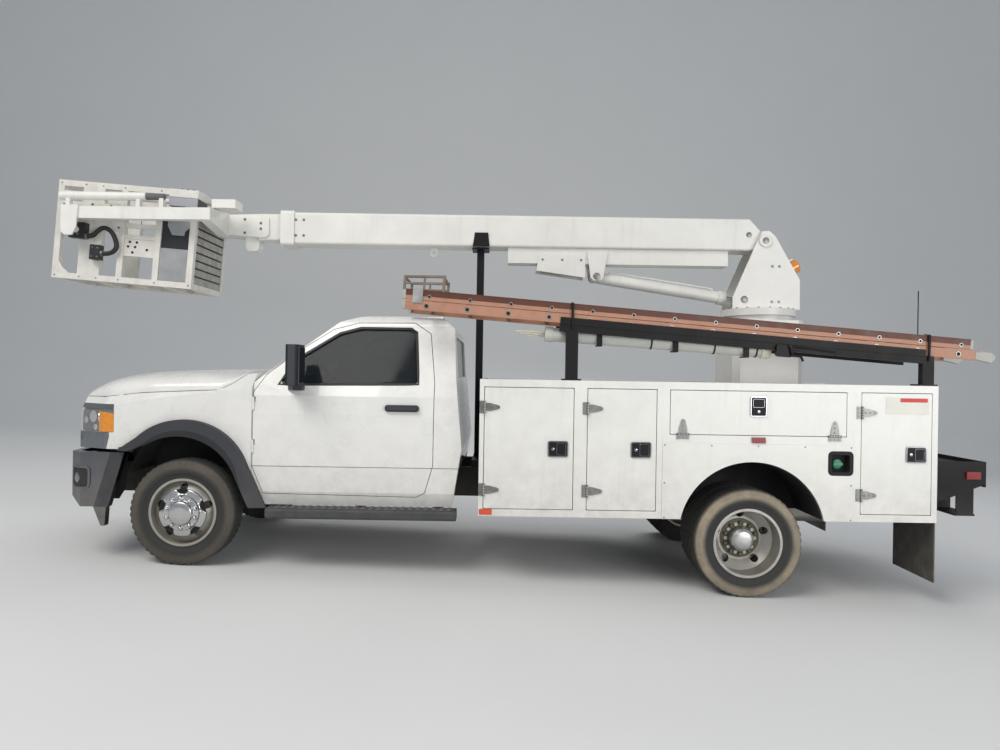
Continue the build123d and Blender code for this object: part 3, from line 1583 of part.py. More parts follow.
with BuildPart() as ladder_rack:
    for y in (post_y[1], ladder_far + 10):
        with BuildSketch(slope_plane(y)):
            with Locations(((2854 + 5633) / 2 - ladder_front_x, -rack_beam_height / 2 - seat_gap)):
                Rectangle(5633 - 2854, rack_beam_height)
        extrude(amount=60 if y == post_y[1] else 40)
    for x_from, x_to in rack_posts:
        top = under_ladder((x_from + x_to) / 2) - 8
        add(block((x_from, x_to), post_y, (body_top + seat_gap, top)))
        add(block((x_from + 10, x_to - 10), (post_y[0] + 20, ladder_far), (top - 18, top)))
        foot_y = (post_y[0] - 5, post_y[1] + 60)
        add(block((x_from - 25, x_to + 25), foot_y, (body_top + seat_gap, body_top + 12)))
    with BuildSketch(slope_plane(post_y[0] + 5)):
        with Locations((4520 - ladder_front_x, -60)):
            RectangleRounded(120, 90, 20)
    extrude(amount=30)
    for x in saddle_x:
        low = conduit_height(x) - conduit_radius - 2
        add(block((x - 20, x + 20), (post_y[1] - 12, post_y[1]), (low - 10, under_ladder(x) - 20)))
        add(block((x - 20, x + 20), (post_y[1] - 12, conduit_y + 40), (low - 10, low)))
keep(ladder_rack.part, "ladder_rack")

# Conduit tube beside the rack, strapped to its beam
with BuildPart() as conduit_tube:
    conduit_plane = Plane(origin=conduit_start, z_dir=conduit_end - conduit_start)
    with BuildSketch(conduit_plane):
        Circle(conduit_radius)
    extrude(amount=(conduit_end - conduit_start).length)
    with BuildSketch(conduit_plane.offset(-30)):
        Circle(conduit_radius + 7)
    extrude(amount=60)
keep(conduit_tube.part, "conduit_tube")

# Tip everything by the rake, centre it on the floor and write it
tip = Rot(0, -rake, 0)
tipped = [(tip * piece, label) for piece, label in finished]
whole = Compound(children=[Compound(piece.solids()) for piece, label in tipped])
box = whole.bounding_box()
centre_shift = (-(box.min.X + box.max.X) / 2, -(box.min.Y + box.max.Y) / 2, -box.min.Z)
truck_frame = Pos(*centre_shift) * tip
os.makedirs("parts", exist_ok=True)
for piece, label in finished:
    placed = truck_frame * piece
    placed.label = label
    export_step(placed, f"parts/{label}.step")
print("shift", [round(value, 2) for value in centre_shift], "box", box.size)
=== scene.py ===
import json
import math

import bmesh
import bpy
from mathutils import Matrix, Vector


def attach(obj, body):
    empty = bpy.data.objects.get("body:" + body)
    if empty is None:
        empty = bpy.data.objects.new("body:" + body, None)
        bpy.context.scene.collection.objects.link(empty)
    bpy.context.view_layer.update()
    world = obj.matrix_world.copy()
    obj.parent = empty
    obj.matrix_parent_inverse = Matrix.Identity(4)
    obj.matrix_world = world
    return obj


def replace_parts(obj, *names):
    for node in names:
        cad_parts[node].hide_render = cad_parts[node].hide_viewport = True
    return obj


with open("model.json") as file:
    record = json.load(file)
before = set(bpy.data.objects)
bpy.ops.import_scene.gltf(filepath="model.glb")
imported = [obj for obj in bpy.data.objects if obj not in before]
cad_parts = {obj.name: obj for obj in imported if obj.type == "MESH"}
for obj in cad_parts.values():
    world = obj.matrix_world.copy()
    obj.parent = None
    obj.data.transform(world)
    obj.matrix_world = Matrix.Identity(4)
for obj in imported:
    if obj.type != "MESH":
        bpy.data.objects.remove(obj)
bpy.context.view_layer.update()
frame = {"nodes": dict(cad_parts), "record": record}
scene = bpy.context.scene

# The truck is drawn level, in millimetres, with X = 0 at the front axle and Z = 0
# at the ground under the rear axle. LEVEL_TO_ROW tips it nose down by the rake.
WHEELBASE = 4280
FRONT_HUB = Vector((0, -945, 537))
REAR_HUB_Z = 395
DUAL_CENTRES = (-1070, -810)
RAKE = math.atan((FRONT_HUB.z - REAR_HUB_Z) / WHEELBASE)
PLATFORM_TILT = math.radians(4)
PLATFORM_CORNER = Vector((-1444, 0, 2402))
BODY_HALF = 1215
OUTWARD = (0, -1, 0)

joint_places = {
    joint["name"]: Vector(joint["pos_m"])
    for joint in frame["record"]["behaviour"]["joints"]
    if "pos_m" in joint
}
tip = Matrix.Rotation(-RAKE, 4, "Y") @ Matrix.Scale(0.001, 4)
shift = joint_places["front_spin_left"] - tip @ FRONT_HUB
LEVEL_TO_ROW = Matrix.Translation(shift) @ tip
PLATFORM_POSE = Matrix.Translation(PLATFORM_CORNER) @ Matrix.Rotation(PLATFORM_TILT, 4, "Y")
AT_REST = Matrix.Identity(4)


# Materials

def new_material(name):
    """A node material, its tree and the object coordinates inside it."""
    material = bpy.data.materials.new(name)
    material.use_nodes = True
    tree = material.node_tree
    return material, tree, tree.nodes.new("ShaderNodeTexCoord").outputs["Object"]


def set_inputs(tree, node, values):
    """Set inputs by name or number: a socket is linked, anything else becomes the default."""
    for key, value in values.items():
        if isinstance(value, bpy.types.NodeSocket):
            tree.links.new(value, node.inputs[key])
        else:
            node.inputs[key].default_value = value


def add_node(tree, kind, values, **settings):
    node = tree.nodes.new("ShaderNode" + kind)
    for key, setting in settings.items():
        setattr(node, key, setting)
    set_inputs(tree, node, values)
    return node


def noise(tree, coordinates, scale, detail=5.0):
    values = {"Scale": scale, "Detail": detail, "Roughness": 0.6, "Vector": coordinates}
    return add_node(tree, "TexNoise", values).outputs["Fac"]


def remap(tree, value, low, high, to_low, to_high):
    values = {"Value": value, "From Min": low, "From Max": high, "To Min": to_low, "To Max": to_high}
    return add_node(tree, "MapRange", values).outputs["Result"]


def blend_colours(tree, factor, first, second):
    """Mix two colours; each is a colour or a socket."""
    first, second = ((*end, 1) if isinstance(end, tuple) else end for end in (first, second))
    values = {"Factor": factor, "A": first, "B": second}
    return add_node(tree, "Mix", values, data_type="RGBA").outputs["Result"]


def combine(tree, operation, first, second):
    clamp = operation == "MULTIPLY"
    return add_node(tree, "Math", {0: first, 1: second}, operation=operation, use_clamp=clamp).outputs[0]


def relief(tree, height, strength, distance=0.002):
    values = {"Strength": strength, "Distance": distance, "Height": height}
    return add_node(tree, "Bump", values).outputs["Normal"]


# Brown tint that rises from the bottom: dust on most surfaces, and on the bumper a painted reflection of the
# ground
DUST_AND_REFLECTION = (0.30, 0.25, 0.19)
RUN_OFF = (0.27, 0.24, 0.20)


def surface(name, colour, roughness=0.5, metallic=0.0, vary=0.10, grain=5.0, dust_and_reflection=0.0,
            dust_and_reflection_top=0.9, bump=0.0, bump_scale=300.0, streaks=0.0, coat=0.0, gleam=0.5):
    """Paint, metal or plastic with mottling, a brown tint that thins with height (dust, and on the bumper a
    painted reflection of the ground), and fine bump.
    """
    material, tree, coordinates = new_material(name)
    mottle = noise(tree, coordinates, grain)
    darker = tuple(channel * (1 - vary) for channel in colour)
    lighter = tuple(min(channel * (1 + 0.4 * vary), 0.95) for channel in colour)
    result = blend_colours(tree, remap(tree, mottle, 0.3, 0.7, 0, 1), darker, lighter)
    if dust_and_reflection:
        split = add_node(tree, "SeparateXYZ", {0: coordinates})
        height = remap(tree, split.outputs["Z"], 0.1, dust_and_reflection_top, dust_and_reflection, 0.0)
        patches = remap(tree, noise(tree, coordinates, 11.0, 8.0), 0.35, 0.65, 0.25, 1.0)
        result = blend_colours(tree, combine(tree, "MULTIPLY", height, patches), result, DUST_AND_REFLECTION)
    if streaks:
        mapping = add_node(tree, "Mapping", {"Scale": (14.0, 14.0, 0.9), "Vector": coordinates})
        stretched = noise(tree, mapping.outputs["Vector"], 1.0, 6.0)
        result = blend_colours(tree, remap(tree, stretched, 0.55, 0.8, 0, streaks), result, RUN_OFF)
    values = {
        "Base Color": result,
        "Roughness": remap(tree, mottle, 0.3, 0.7, max(roughness - 0.08, 0.03), min(roughness + 0.10, 1.0)),
        "Metallic": metallic,
        "Coat Weight": coat,
        "Specular IOR Level": gleam,
    }
    if bump:
        values["Normal"] = relief(tree, noise(tree, coordinates, bump_scale, 3.0), bump)
    set_inputs(tree, tree.nodes["Principled BSDF"], values)
    return material


def glass(name, colour, alpha):
    material, tree, coordinates = new_material(name)
    smear = noise(tree, coordinates, 3.0)
    set_inputs(tree, tree.nodes["Principled BSDF"], {
        "Roughness": remap(tree, smear, 0.3, 0.7, 0.03, 0.12),
        "Base Color": blend_colours(tree, smear, colour, tuple(channel * 1.6 for channel in colour)),
        "Alpha": alpha,
        "Specular IOR Level": 0.16,
    })
    return material


cab_white = surface("cab_white", (0.76, 0.75, 0.72), 0.28, vary=0.05, dust_and_reflection=0.45, dust_and_reflection_top=1.1,
                    coat=0.5, streaks=0.06)
body_white = surface("body_white", (0.74, 0.73, 0.69), 0.36, vary=0.07, dust_and_reflection=0.5, dust_and_reflection_top=1.2,
                     streaks=0.16)
boom_white = surface("boom_white", (0.74, 0.73, 0.69), 0.42, vary=0.08, grain=3.0, streaks=0.20, bump=0.06)
platform_white = surface("platform_white", (0.68, 0.66, 0.61), 0.5, vary=0.14, grain=9.0, streaks=0.28,
                         bump=0.1)
black_paint = surface("black_paint", (0.011, 0.010, 0.011), 0.5, vary=0.3, dust_and_reflection=0.28, bump=0.1, gleam=0.2)
frame_black = surface("frame_black", (0.014, 0.014, 0.014), 0.7, vary=0.3, dust_and_reflection=0.28, dust_and_reflection_top=0.8,
                      bump=0.3)
dark_plastic = surface("dark_plastic", (0.038, 0.040, 0.047), 0.6, vary=0.2, dust_and_reflection=0.2, dust_and_reflection_top=0.9,
                       bump=0.35, bump_scale=700)
black_plastic = surface("black_plastic", (0.016, 0.017, 0.020), 0.6, vary=0.2, dust_and_reflection=0.15, bump=0.3)
grey_plastic = surface("grey_plastic", (0.10, 0.105, 0.11), 0.55, vary=0.15, dust_and_reflection=0.35, bump=0.3,
                       bump_scale=700)
dark_chrome = surface("dark_chrome", (0.30, 0.31, 0.33), 0.16, 1.0, vary=0.1, dust_and_reflection=0.35, dust_and_reflection_top=0.9)
# Its brown tint, full at the bottom and gone at 0.95 m, is a painted reflection of the ground on the lower
# bumper
bumper_chrome = surface("bumper_chrome", (0.17, 0.18, 0.21), 0.22, 1.0, vary=0.15, grain=3, dust_and_reflection=0.95,
                        dust_and_reflection_top=0.95)
chrome = surface("chrome", (0.80, 0.80, 0.81), 0.10, 1.0, vary=0.05, dust_and_reflection=0.15, dust_and_reflection_top=0.6)
cover_chrome = surface("cover_chrome", (0.60, 0.60, 0.60), 0.25, 1.0, vary=0.08, dust_and_reflection=0.15, dust_and_reflection_top=0.6)
wheel_silver = surface("wheel_silver", (0.42, 0.41, 0.38), 0.38, 0.6, vary=0.14, grain=14, dust_and_reflection=0.5,
                       dust_and_reflection_top=0.9)
zinc = surface("zinc", (0.25, 0.245, 0.235), 0.40, 0.75, vary=0.25, grain=22, streaks=0.15)
flap_rubber = surface("flap_rubber", (0.045, 0.045, 0.043), 0.8, vary=0.2, dust_and_reflection=0.35, bump=0.3)
hose_rubber = surface("hose_rubber", (0.012, 0.012, 0.013), 0.5, vary=0.2, bump=0.3)
dark_glass = glass("dark_glass", (0.012, 0.015, 0.017), 0.80)
red_lens = surface("red_lens", (0.22, 0.012, 0.010), 0.2, vary=0.12, grain=60, coat=0.8)
reflector_red = surface("reflector_red", (0.62, 0.07, 0.02), 0.25, vary=0.1, grain=200, coat=0.5)
amber_lens = surface("amber_lens", (0.75, 0.27, 0.02), 0.2, vary=0.15, grain=50, coat=0.8)
cast_metal = surface("cast_metal", (0.05, 0.05, 0.05), 0.7, 0.3, vary=0.3, grain=18, dust_and_reflection=0.25, bump=0.5)
bare_steel = surface("bare_steel", (0.30, 0.29, 0.28), 0.45, 0.8, vary=0.25, grain=12, dust_and_reflection=0.6,
                     dust_and_reflection_top=0.8)
rod_chrome = surface("rod_chrome", (0.70, 0.70, 0.71), 0.08, 1.0, vary=0.05)
cap_plastic = surface("cap_plastic", (0.42, 0.41, 0.38), 0.6, vary=0.2, dust_and_reflection=0.3, bump=0.2)
ladder_brown = surface("ladder_brown", (0.43, 0.215, 0.14), 0.55, vary=0.18, grain=10, streaks=0.12,
                       bump=0.15)
guide_brown = surface("guide_brown", (0.22, 0.17, 0.13), 0.55, vary=0.2, grain=12, bump=0.15)
# A darker copy of the ladder's brown: painted shade on the upper section's top flange and edge
flange_shade_brown = surface("flange_shade_brown", (0.099, 0.028, 0.013), 0.5, vary=0.2, grain=12, bump=0.15)
aluminium = surface("aluminium", (0.52, 0.52, 0.50), 0.38, 0.85, vary=0.14, grain=20)
olive_metal = surface("olive_metal", (0.13, 0.12, 0.08), 0.6, 0.4, vary=0.3, grain=16, dust_and_reflection=0.3, bump=0.3)
tube_green = surface("tube_green", (0.50, 0.51, 0.46), 0.45, vary=0.10, grain=4, streaks=0.2)
cream_plastic = surface("cream_plastic", (0.70, 0.66, 0.52), 0.5, vary=0.08)
panel_dark = surface("panel_dark", (0.018, 0.02, 0.023), 0.4, vary=0.2, bump=0.1)
console_grey = surface("console_grey", (0.34, 0.34, 0.38), 0.5, vary=0.08, grain=8)
# Near-black painted shade, for holes, recesses, wheel arches and under the bumper
painted_shade_black = surface("painted_shade_black", (0.006, 0.006, 0.006), 0.8, vary=0.2)
sheet_grey = surface("sheet_grey", (0.36, 0.37, 0.38), 0.45, 0.4, vary=0.12, grain=8, streaks=0.15)
slat_grey = surface("slat_grey", (0.36, 0.35, 0.31), 0.7, 0.0, vary=0.35, grain=14, streaks=0.3, bump=0.3)
interior_grey = surface("interior_grey", (0.06, 0.06, 0.062), 0.75, vary=0.1, bump=0.3, bump_scale=600)
lens_clear = glass("lens_clear", (0.62, 0.63, 0.63), 0.12)
cap_green = surface("cap_green", (0.04, 0.26, 0.12), 0.45, vary=0.15)
plate_cream = surface("plate_cream", (0.70, 0.68, 0.61), 0.45, vary=0.1)
band_red = surface("band_red", (0.55, 0.03, 0.03), 0.45, vary=0.15)
mirror_glass = surface("mirror_glass", (0.55, 0.58, 0.60), 0.04, 1.0, vary=0.03)


def tyre_material(name, hub, dust):
    """Dark rubber whose dust lies on the outer sidewall, by distance from the hub."""
    material, tree, coordinates = new_material(name)
    from_hub = add_node(tree, "Mapping", {
        "Location": (-hub.x, 0, -hub.z), "Scale": (1, 0, 1), "Vector": coordinates,
    })
    distance = add_node(tree, "VectorMath", {0: from_hub.outputs["Vector"]}, operation="LENGTH")
    radius = distance.outputs["Value"]
    rising = remap(tree, radius, 0.318, 0.350, 0, dust)
    falling = remap(tree, radius, 0.385, 0.402, 1, 0.12)
    split = add_node(tree, "SeparateXYZ", {0: coordinates})
    aside = add_node(tree, "Math", {0: split.outputs["Y"]}, operation="ABSOLUTE").outputs[0]
    outer = remap(tree, aside, abs(hub.y) + 0.06, abs(hub.y) + 0.08, 0, 1)
    patches = remap(tree, noise(tree, coordinates, 9.0, 8.0), 0.3, 0.7, 0.55, 1.0)
    band = combine(tree, "MULTIPLY", combine(tree, "MULTIPLY", rising, falling), patches)
    band = combine(tree, "MULTIPLY", band, outer)
    rubber = blend_colours(tree, noise(tree, coordinates, 6.0), (0.022, 0.022, 0.022), (0.042, 0.041, 0.038))
    set_inputs(tree, tree.nodes["Principled BSDF"], {
        "Base Color": blend_colours(tree, band, rubber, (0.42, 0.35, 0.25)),
        "Roughness": 0.85,
        "Normal": relief(tree, noise(tree, coordinates, 300.0, 3.0), 0.25),
    })
    return material


REAR_HUB = Vector((WHEELBASE, DUAL_CENTRES[0], REAR_HUB_Z))
front_rubber = tyre_material("front_rubber", LEVEL_TO_ROW @ FRONT_HUB, 0.16)
rear_rubber = tyre_material("rear_rubber", LEVEL_TO_ROW @ REAR_HUB, 0.75)


def cloth(name):
    """Woven cloth: two crossed waves give the weave its relief."""
    material, tree, coordinates = new_material(name)
    threads = {"Scale": 160, "Vector": coordinates}
    waves = [add_node(tree, "TexWave", threads, bands_direction=direction) for direction in ("Y", "Z")]
    weave = combine(tree, "MAXIMUM", *(wave.outputs["Fac"] for wave in waves))
    set_inputs(tree, tree.nodes["Principled BSDF"], {
        "Base Color": blend_colours(tree, weave, (0.05, 0.05, 0.055), (0.10, 0.10, 0.105)),
        "Roughness": 0.9,
        "Sheen Weight": 0.3,
        "Normal": relief(tree, weave, 0.4, 0.001),
    })
    return material


seat_cloth = cloth("seat_cloth")

# Which material each CAD node wears
node_materials = {
    cab_white: ["cab_shell", "hood", "front_fenders", "door_left", "door_right"],
    body_white: ["side_pack_left", "side_pack_right", "turret", "pedestal"] + [
        f"locker_{index}_{hand}" for index in (1, 2, 3, 4) for hand in ("left", "right")
    ],
    boom_white: ["outer_boom", "boom_fittings", "inner_boom", "platform_arm", "cylinder_barrel"],
    platform_white: ["platform_frame"],
    black_paint: ["deck", "ladder_rack"],
    frame_black: ["frame_rails", "front_axle", "rear_axle", "leaf_springs", "knuckle_left", "knuckle_right"],
    dark_plastic: ["fender_flares", "running_boards", "grille"],
    interior_grey: ["dashboard"],
    bumper_chrome: ["front_bumper"],
    wheel_silver: ["front_wheel_left", "front_wheel_right", "rear_wheels_left", "rear_wheels_right"],
    flap_rubber: ["mud_flaps"],
    dark_glass: ["cab_glass", "door_glass_left", "door_glass_right"],
    lens_clear: ["headlamps"],
    red_lens: ["tail_lamps"],
    amber_lens: ["beacon"],
    cast_metal: ["engine"],
    bare_steel: ["fuel_tank", "exhaust"],
    rod_chrome: ["cylinder_rod"],
    ladder_brown: ["ladder"],
    tube_green: ["conduit_tube"],
    panel_dark: ["platform_panels"],
    seat_cloth: ["seats"],
    front_rubber: ["front_tyre_left", "front_tyre_right"],
    rear_rubber: ["rear_tyres_left", "rear_tyres_right"],
    hose_rubber: ["platform_hose"],
}
for material, names in node_materials.items():
    for name in names:
        node = frame["nodes"][name]
        node.data.materials.clear()
        node.data.materials.append(material)


# Mesh building, in level millimetres

def add_piece(name, bm, body, material, pose=AT_REST, bevel=0.0, smooth=30.0, slot=None):
    """Turn a bmesh into a piece that rides on a body; slot is not used."""
    bmesh.ops.recalc_face_normals(bm, faces=bm.faces)
    bm.transform(LEVEL_TO_ROW @ pose)
    mesh = bpy.data.meshes.new(name)
    bm.to_mesh(mesh)
    bm.free()
    mesh.materials.append(material)
    for polygon in mesh.polygons:
        polygon.use_smooth = True
    mesh.set_sharp_from_angle(angle=math.radians(smooth))
    obj = bpy.data.objects.new(name, mesh)
    scene.collection.objects.link(obj)
    if bevel:
        modifier = obj.modifiers.new("soft_edges", "BEVEL")
        modifier.width = bevel / 1000
        modifier.segments = 2
        modifier.limit_method = "ANGLE"
    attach(obj, body)
    return obj


def box(bm, x, y, z):
    """A box from three (low, high) pairs."""
    corners = [bm.verts.new((px, py, pz)) for px in x for py in y for pz in z]
    for loop in ((0, 1, 3, 2), (4, 6, 7, 5), (0, 4, 5, 1), (2, 3, 7, 6), (0, 2, 6, 4), (1, 5, 7, 3)):
        bm.faces.new([corners[index] for index in loop])


def join_rings(bm, rings):
    """Quads between each closed ring of verts and the next."""
    for first, second in zip(rings, rings[1:]):
        for step in range(len(first)):
            after = (step + 1) % len(first)
            bm.faces.new((first[step], first[after], second[after], second[step]))


def join_rows(bm, rows):
    """Quads between each open row of verts and the next."""
    for first, second in zip(rows, rows[1:]):
        for step in range(len(first) - 1):
            bm.faces.new((first[step], second[step], second[step + 1], first[step + 1]))


def circle(count, offset=0.0):
    """Cosine and sine of evenly spaced angles."""
    angles = [2 * math.pi * (step + offset) / count for step in range(count)]
    return [(math.cos(angle), math.sin(angle)) for angle in angles]


def side_prism(bm, outline, y_from, y_to):
    """A side-view outline of (x, z) points stretched between two Y planes."""
    near, far = ([bm.verts.new((x, y, z)) for x, z in outline] for y in (y_from, y_to))
    bm.faces.new(near)
    bm.faces.new(far)
    join_rings(bm, [near, far])


def oblong(x_span, z_span):
    """Outline points of a rectangle."""
    (x0, x1), (z0, z1) = x_span, z_span
    return [(x0, z0), (x1, z0), (x1, z1), (x0, z1)]


def rounded(x_span, z_span, radius, steps=4):
    """Outline points of a rectangle with round corners."""
    (x0, x1), (z0, z1) = x_span, z_span
    points = []
    corners = ((x1 - radius, z1 - radius, 0), (x0 + radius, z1 - radius, 90),
               (x0 + radius, z0 + radius, 180), (x1 - radius, z0 + radius, 270))
    for cx, cz, start in corners:
        for step in range(steps + 1):
            angle = math.radians(start + 90 * step / steps)
            points.append((cx + radius * math.cos(angle), cz + radius * math.sin(angle)))
    return points


def frame_ring(bm, outer, inner, y_from, y_to):
    """A flat ring between two outlines of as many points."""
    loops = [[bm.verts.new((x, y, z)) for x, z in outline]
             for outline, y in ((outer, y_from), (outer, y_to), (inner, y_to), (inner, y_from))]
    join_rings(bm, loops + loops[:1])


def lathe(bm, profile, centre, direction, segments=32, closed=False):
    """Turn (along, radius) points about an axis through centre."""
    axis = Vector(direction).normalized()
    across = axis.orthogonal().normalized()
    other = axis.cross(across)
    rings = [
        [bm.verts.new(Vector(centre) + axis * along + (across * cos + other * sin) * max(radius, 0.01))
         for cos, sin in circle(segments)]
        for along, radius in profile
    ]
    join_rings(bm, rings + rings[:1] if closed else rings)
    if not closed:
        bm.faces.new(rings[0])
        bm.faces.new(rings[-1])


def bolt(bm, at, direction, radius=9, height=7):
    """A hex head with a washer."""
    lathe(bm, [(0, radius * 1.35), (1.5, radius * 1.35)], at, direction, 16)
    lathe(bm, [(1, radius), (height - 1, radius), (height, radius * 0.85)], at, direction, 6)


def rivet(bm, at, direction, radius=7):
    lathe(bm, [(0, radius), (radius * 0.3, radius * 0.9), (radius * 0.55, radius * 0.4)], at, direction, 10)


def near_bolts(bm, places, y, radius, height):
    """Bolts at (x, z) places on a plane that faces the near side."""
    for x, z in places:
        bolt(bm, (x, y, z), OUTWARD, radius, height)


def rod(bm, points, radius, sides=12):
    """A bent round bar through points, mitred at its bends."""
    points = [Vector(point) for point in points]
    directions = [(b - a).normalized() for a, b in zip(points, points[1:])]
    normal = directions[0].orthogonal().normalized()
    rings = []
    for index, point in enumerate(points):
        before = directions[max(index - 1, 0)]
        after = directions[min(index, len(directions) - 1)]
        tangent = (before + after).normalized()
        normal = (normal - tangent * normal.dot(tangent)).normalized()
        other = tangent.cross(normal)
        reach = radius / max(before.dot(tangent), 0.5) if 0 < index < len(points) - 1 else radius
        rings.append([bm.verts.new(point + (normal * cos + other * sin) * reach)
                      for cos, sin in circle(sides)])
    join_rings(bm, rings)
    bm.faces.new(rings[0])
    bm.faces.new(rings[-1])


def mirrored(bm):
    """The right-hand twin of a left-hand bmesh."""
    twin = bm.copy()
    bmesh.ops.scale(twin, vec=(1, -1, 1), verts=twin.verts)
    return twin


def both_sides(name, bm, body, material, **options):
    """A piece on the left and its twin on the right; body may hold a {hand}."""
    twin = mirrored(bm)
    for hand, mesh in (("left", bm), ("right", twin)):
        add_piece(f"{name}_{hand}", mesh, body.format(hand=hand), material, **options)


def divided(outline, longest):
    """The outline with more points on its long runs."""
    result = []
    for (x0, z0), (x1, z1) in zip(outline, outline[1:] + outline[:1]):
        steps = max(1, math.ceil(math.hypot(x1 - x0, z1 - z0) / longest))
        result += [(x0 + (x1 - x0) * step / steps, z0 + (z1 - z0) * step / steps) for step in range(steps)]
    return result


def grown(outline, amount):
    """The outline moved outward along its points' normals."""
    area = sum(x0 * z1 - x1 * z0 for (x0, z0), (x1, z1) in zip(outline, outline[1:] + outline[:1]))
    sign = 1 if area > 0 else -1
    result = []
    for before, here, after in zip(outline[-1:] + outline[:-1], outline, outline[1:] + outline[:1]):
        tangent = Vector((after[0] - before[0], after[1] - before[1])).normalized()
        result.append((here[0] + sign * tangent.y * amount, here[1] - sign * tangent.x * amount))
    return result


def skin_of(node_name, cuts, facing, lift=2.0):
    """Faces of a CAD node that look one way, cut to half spaces and raised off its surface.

    Each cut is a point and the direction in which everything beyond it goes."""
    source = frame["nodes"][node_name]
    bm = bmesh.new()
    bm.from_mesh(source.data)
    bm.transform(LEVEL_TO_ROW.inverted() @ source.matrix_world)
    bmesh.ops.remove_doubles(bm, verts=bm.verts, dist=0.02)
    for point, direction in cuts:
        everything = bm.verts[:] + bm.edges[:] + bm.faces[:]
        bmesh.ops.bisect_plane(bm, geom=everything, plane_co=point, plane_no=direction, clear_outer=True)
    bm.normal_update()
    look = Vector(facing)
    hidden = [face for face in bm.faces if face.normal.dot(look) < 0.12]
    bmesh.ops.delete(bm, geom=hidden, context="FACES")
    bm.normal_update()
    raised = [(vert, vert.co + vert.normal * lift) for vert in bm.verts]
    for vert, place in raised:
        vert.co = place
    bmesh.ops.solidify(bm, geom=bm.faces[:], thickness=min(abs(lift), 2.0))
    return bm


# Tyres: rounded shoulders, ribbed tread, notched shoulders and raised sidewall rings
TYRE_SEGMENTS = 150
TYRE_PROFILE = [
    # across, radius, notch depth
    (-86, 250, 0), (-95, 259, 0), (-97, 268, 0), (-94, 271, 0), (-104, 300, 0), (-108, 303, 0),
    (-112, 326, 0), (-112, 345, 0), (-109, 349, 0), (-107, 372, 0), (-103, 377, 5), (-99, 392, 9),
    (-93, 401, 9), (-84, 404, 7), (-62, 405, 2), (-59, 394, 0), (-50, 394, 0), (-47, 405.5, 2),
    (-24, 406, 2), (-21, 394, 0), (-12, 394, 0), (-9, 406, 2),
]
TYRE_PROFILE += [(-across, radius, notch) for across, radius, notch in reversed(TYRE_PROFILE)]


def tyre(bm, centre):
    """One tyre about a centre, with its axle along Y."""
    rings = []
    for across, radius, notch in TYRE_PROFILE:
        ring = []
        for step, (cos, sin) in enumerate(circle(TYRE_SEGMENTS)):
            reach = radius - (notch if step % 3 == 0 else 0)
            zigzag = 1.8 * (1 if step % 6 < 3 else -1) if abs(across) < 62 else 0
            ring.append(bm.verts.new(centre + Vector((reach * cos, across + zigzag, reach * sin))))
        rings.append(ring)
    join_rings(bm, rings + rings[:1])


def treads(name, body, hubs, material, node):
    """The tyres of one body, in place of their solid rings."""
    bm = bmesh.new()
    for hub in hubs:
        tyre(bm, hub)
    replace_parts(add_piece(name, bm, body, material, smooth=38), node)


for hand, sign in (("left", 1), ("right", -1)):
    front_hub = Vector((FRONT_HUB.x, sign * FRONT_HUB.y, FRONT_HUB.z))
    rear_hubs = [Vector((WHEELBASE, sign * y, REAR_HUB_Z)) for y in DUAL_CENTRES]
    treads(f"front_tread_{hand}", f"front_wheel_{hand}", [front_hub], front_rubber, f"front_tyre_{hand}")
    treads(f"rear_tread_{hand}", f"rear_wheels_{hand}", rear_hubs, rear_rubber, f"rear_tyres_{hand}")

# Control hose beside the platform, repeated from its solid's route
HOSE_Y = -388
HOSE_ROUTE = [
    (290.3, HOSE_Y, 370), (345, HOSE_Y, 370), (385, HOSE_Y - 6, 420), (440, HOSE_Y - 10, 458),
    (510, HOSE_Y - 8, 425), (550, HOSE_Y - 6, 350), (562, HOSE_Y - 4, 285), (505, HOSE_Y, 232),
    (430.3, HOSE_Y, 232),
]
hose_curve = bpy.data.curves.new("platform_hose_line", "CURVE")
hose_curve.dimensions = "3D"
hose_curve.bevel_depth = 0.0195
hose_curve.bevel_resolution = 6
hose_curve.use_fill_caps = True
spline = hose_curve.splines.new("NURBS")
spline.points.add(len(HOSE_ROUTE) - 1)
for point, place in zip(spline.points, HOSE_ROUTE):
    point.co = (*(LEVEL_TO_ROW @ PLATFORM_POSE @ Vector(place)), 1)
spline.order_u = 3
spline.use_endpoint_u = True
spline.resolution_u = 12
hose = bpy.data.objects.new("platform_hose_line", hose_curve)
scene.collection.objects.link(hose)
hose_curve.materials.append(hose_rubber)
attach(hose, "platform")
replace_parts(hose, "platform_hose")

# Locker doors: strap hinges, barrels and paddle latches over their solids
LOCKERS = [
    # name, x from, z from, latch x, latch z, drop-down
    ("locker_1", 2299, 637, 2845, 1083, False),
    ("locker_2", 3063, 637, 3459, 1085, False),
    ("locker_3", 3675, 1208, 4324, 1420, True),
    ("locker_4", 5091, 637, 5494, 1081, False),
]
HINGE_LEVELS = (775, 1386)
DROP_HINGE_X = (3767, 4891)
STRAP_LENGTH = 110


def swap(outline, swapped):
    return [(z, x) for x, z in outline] if swapped else outline


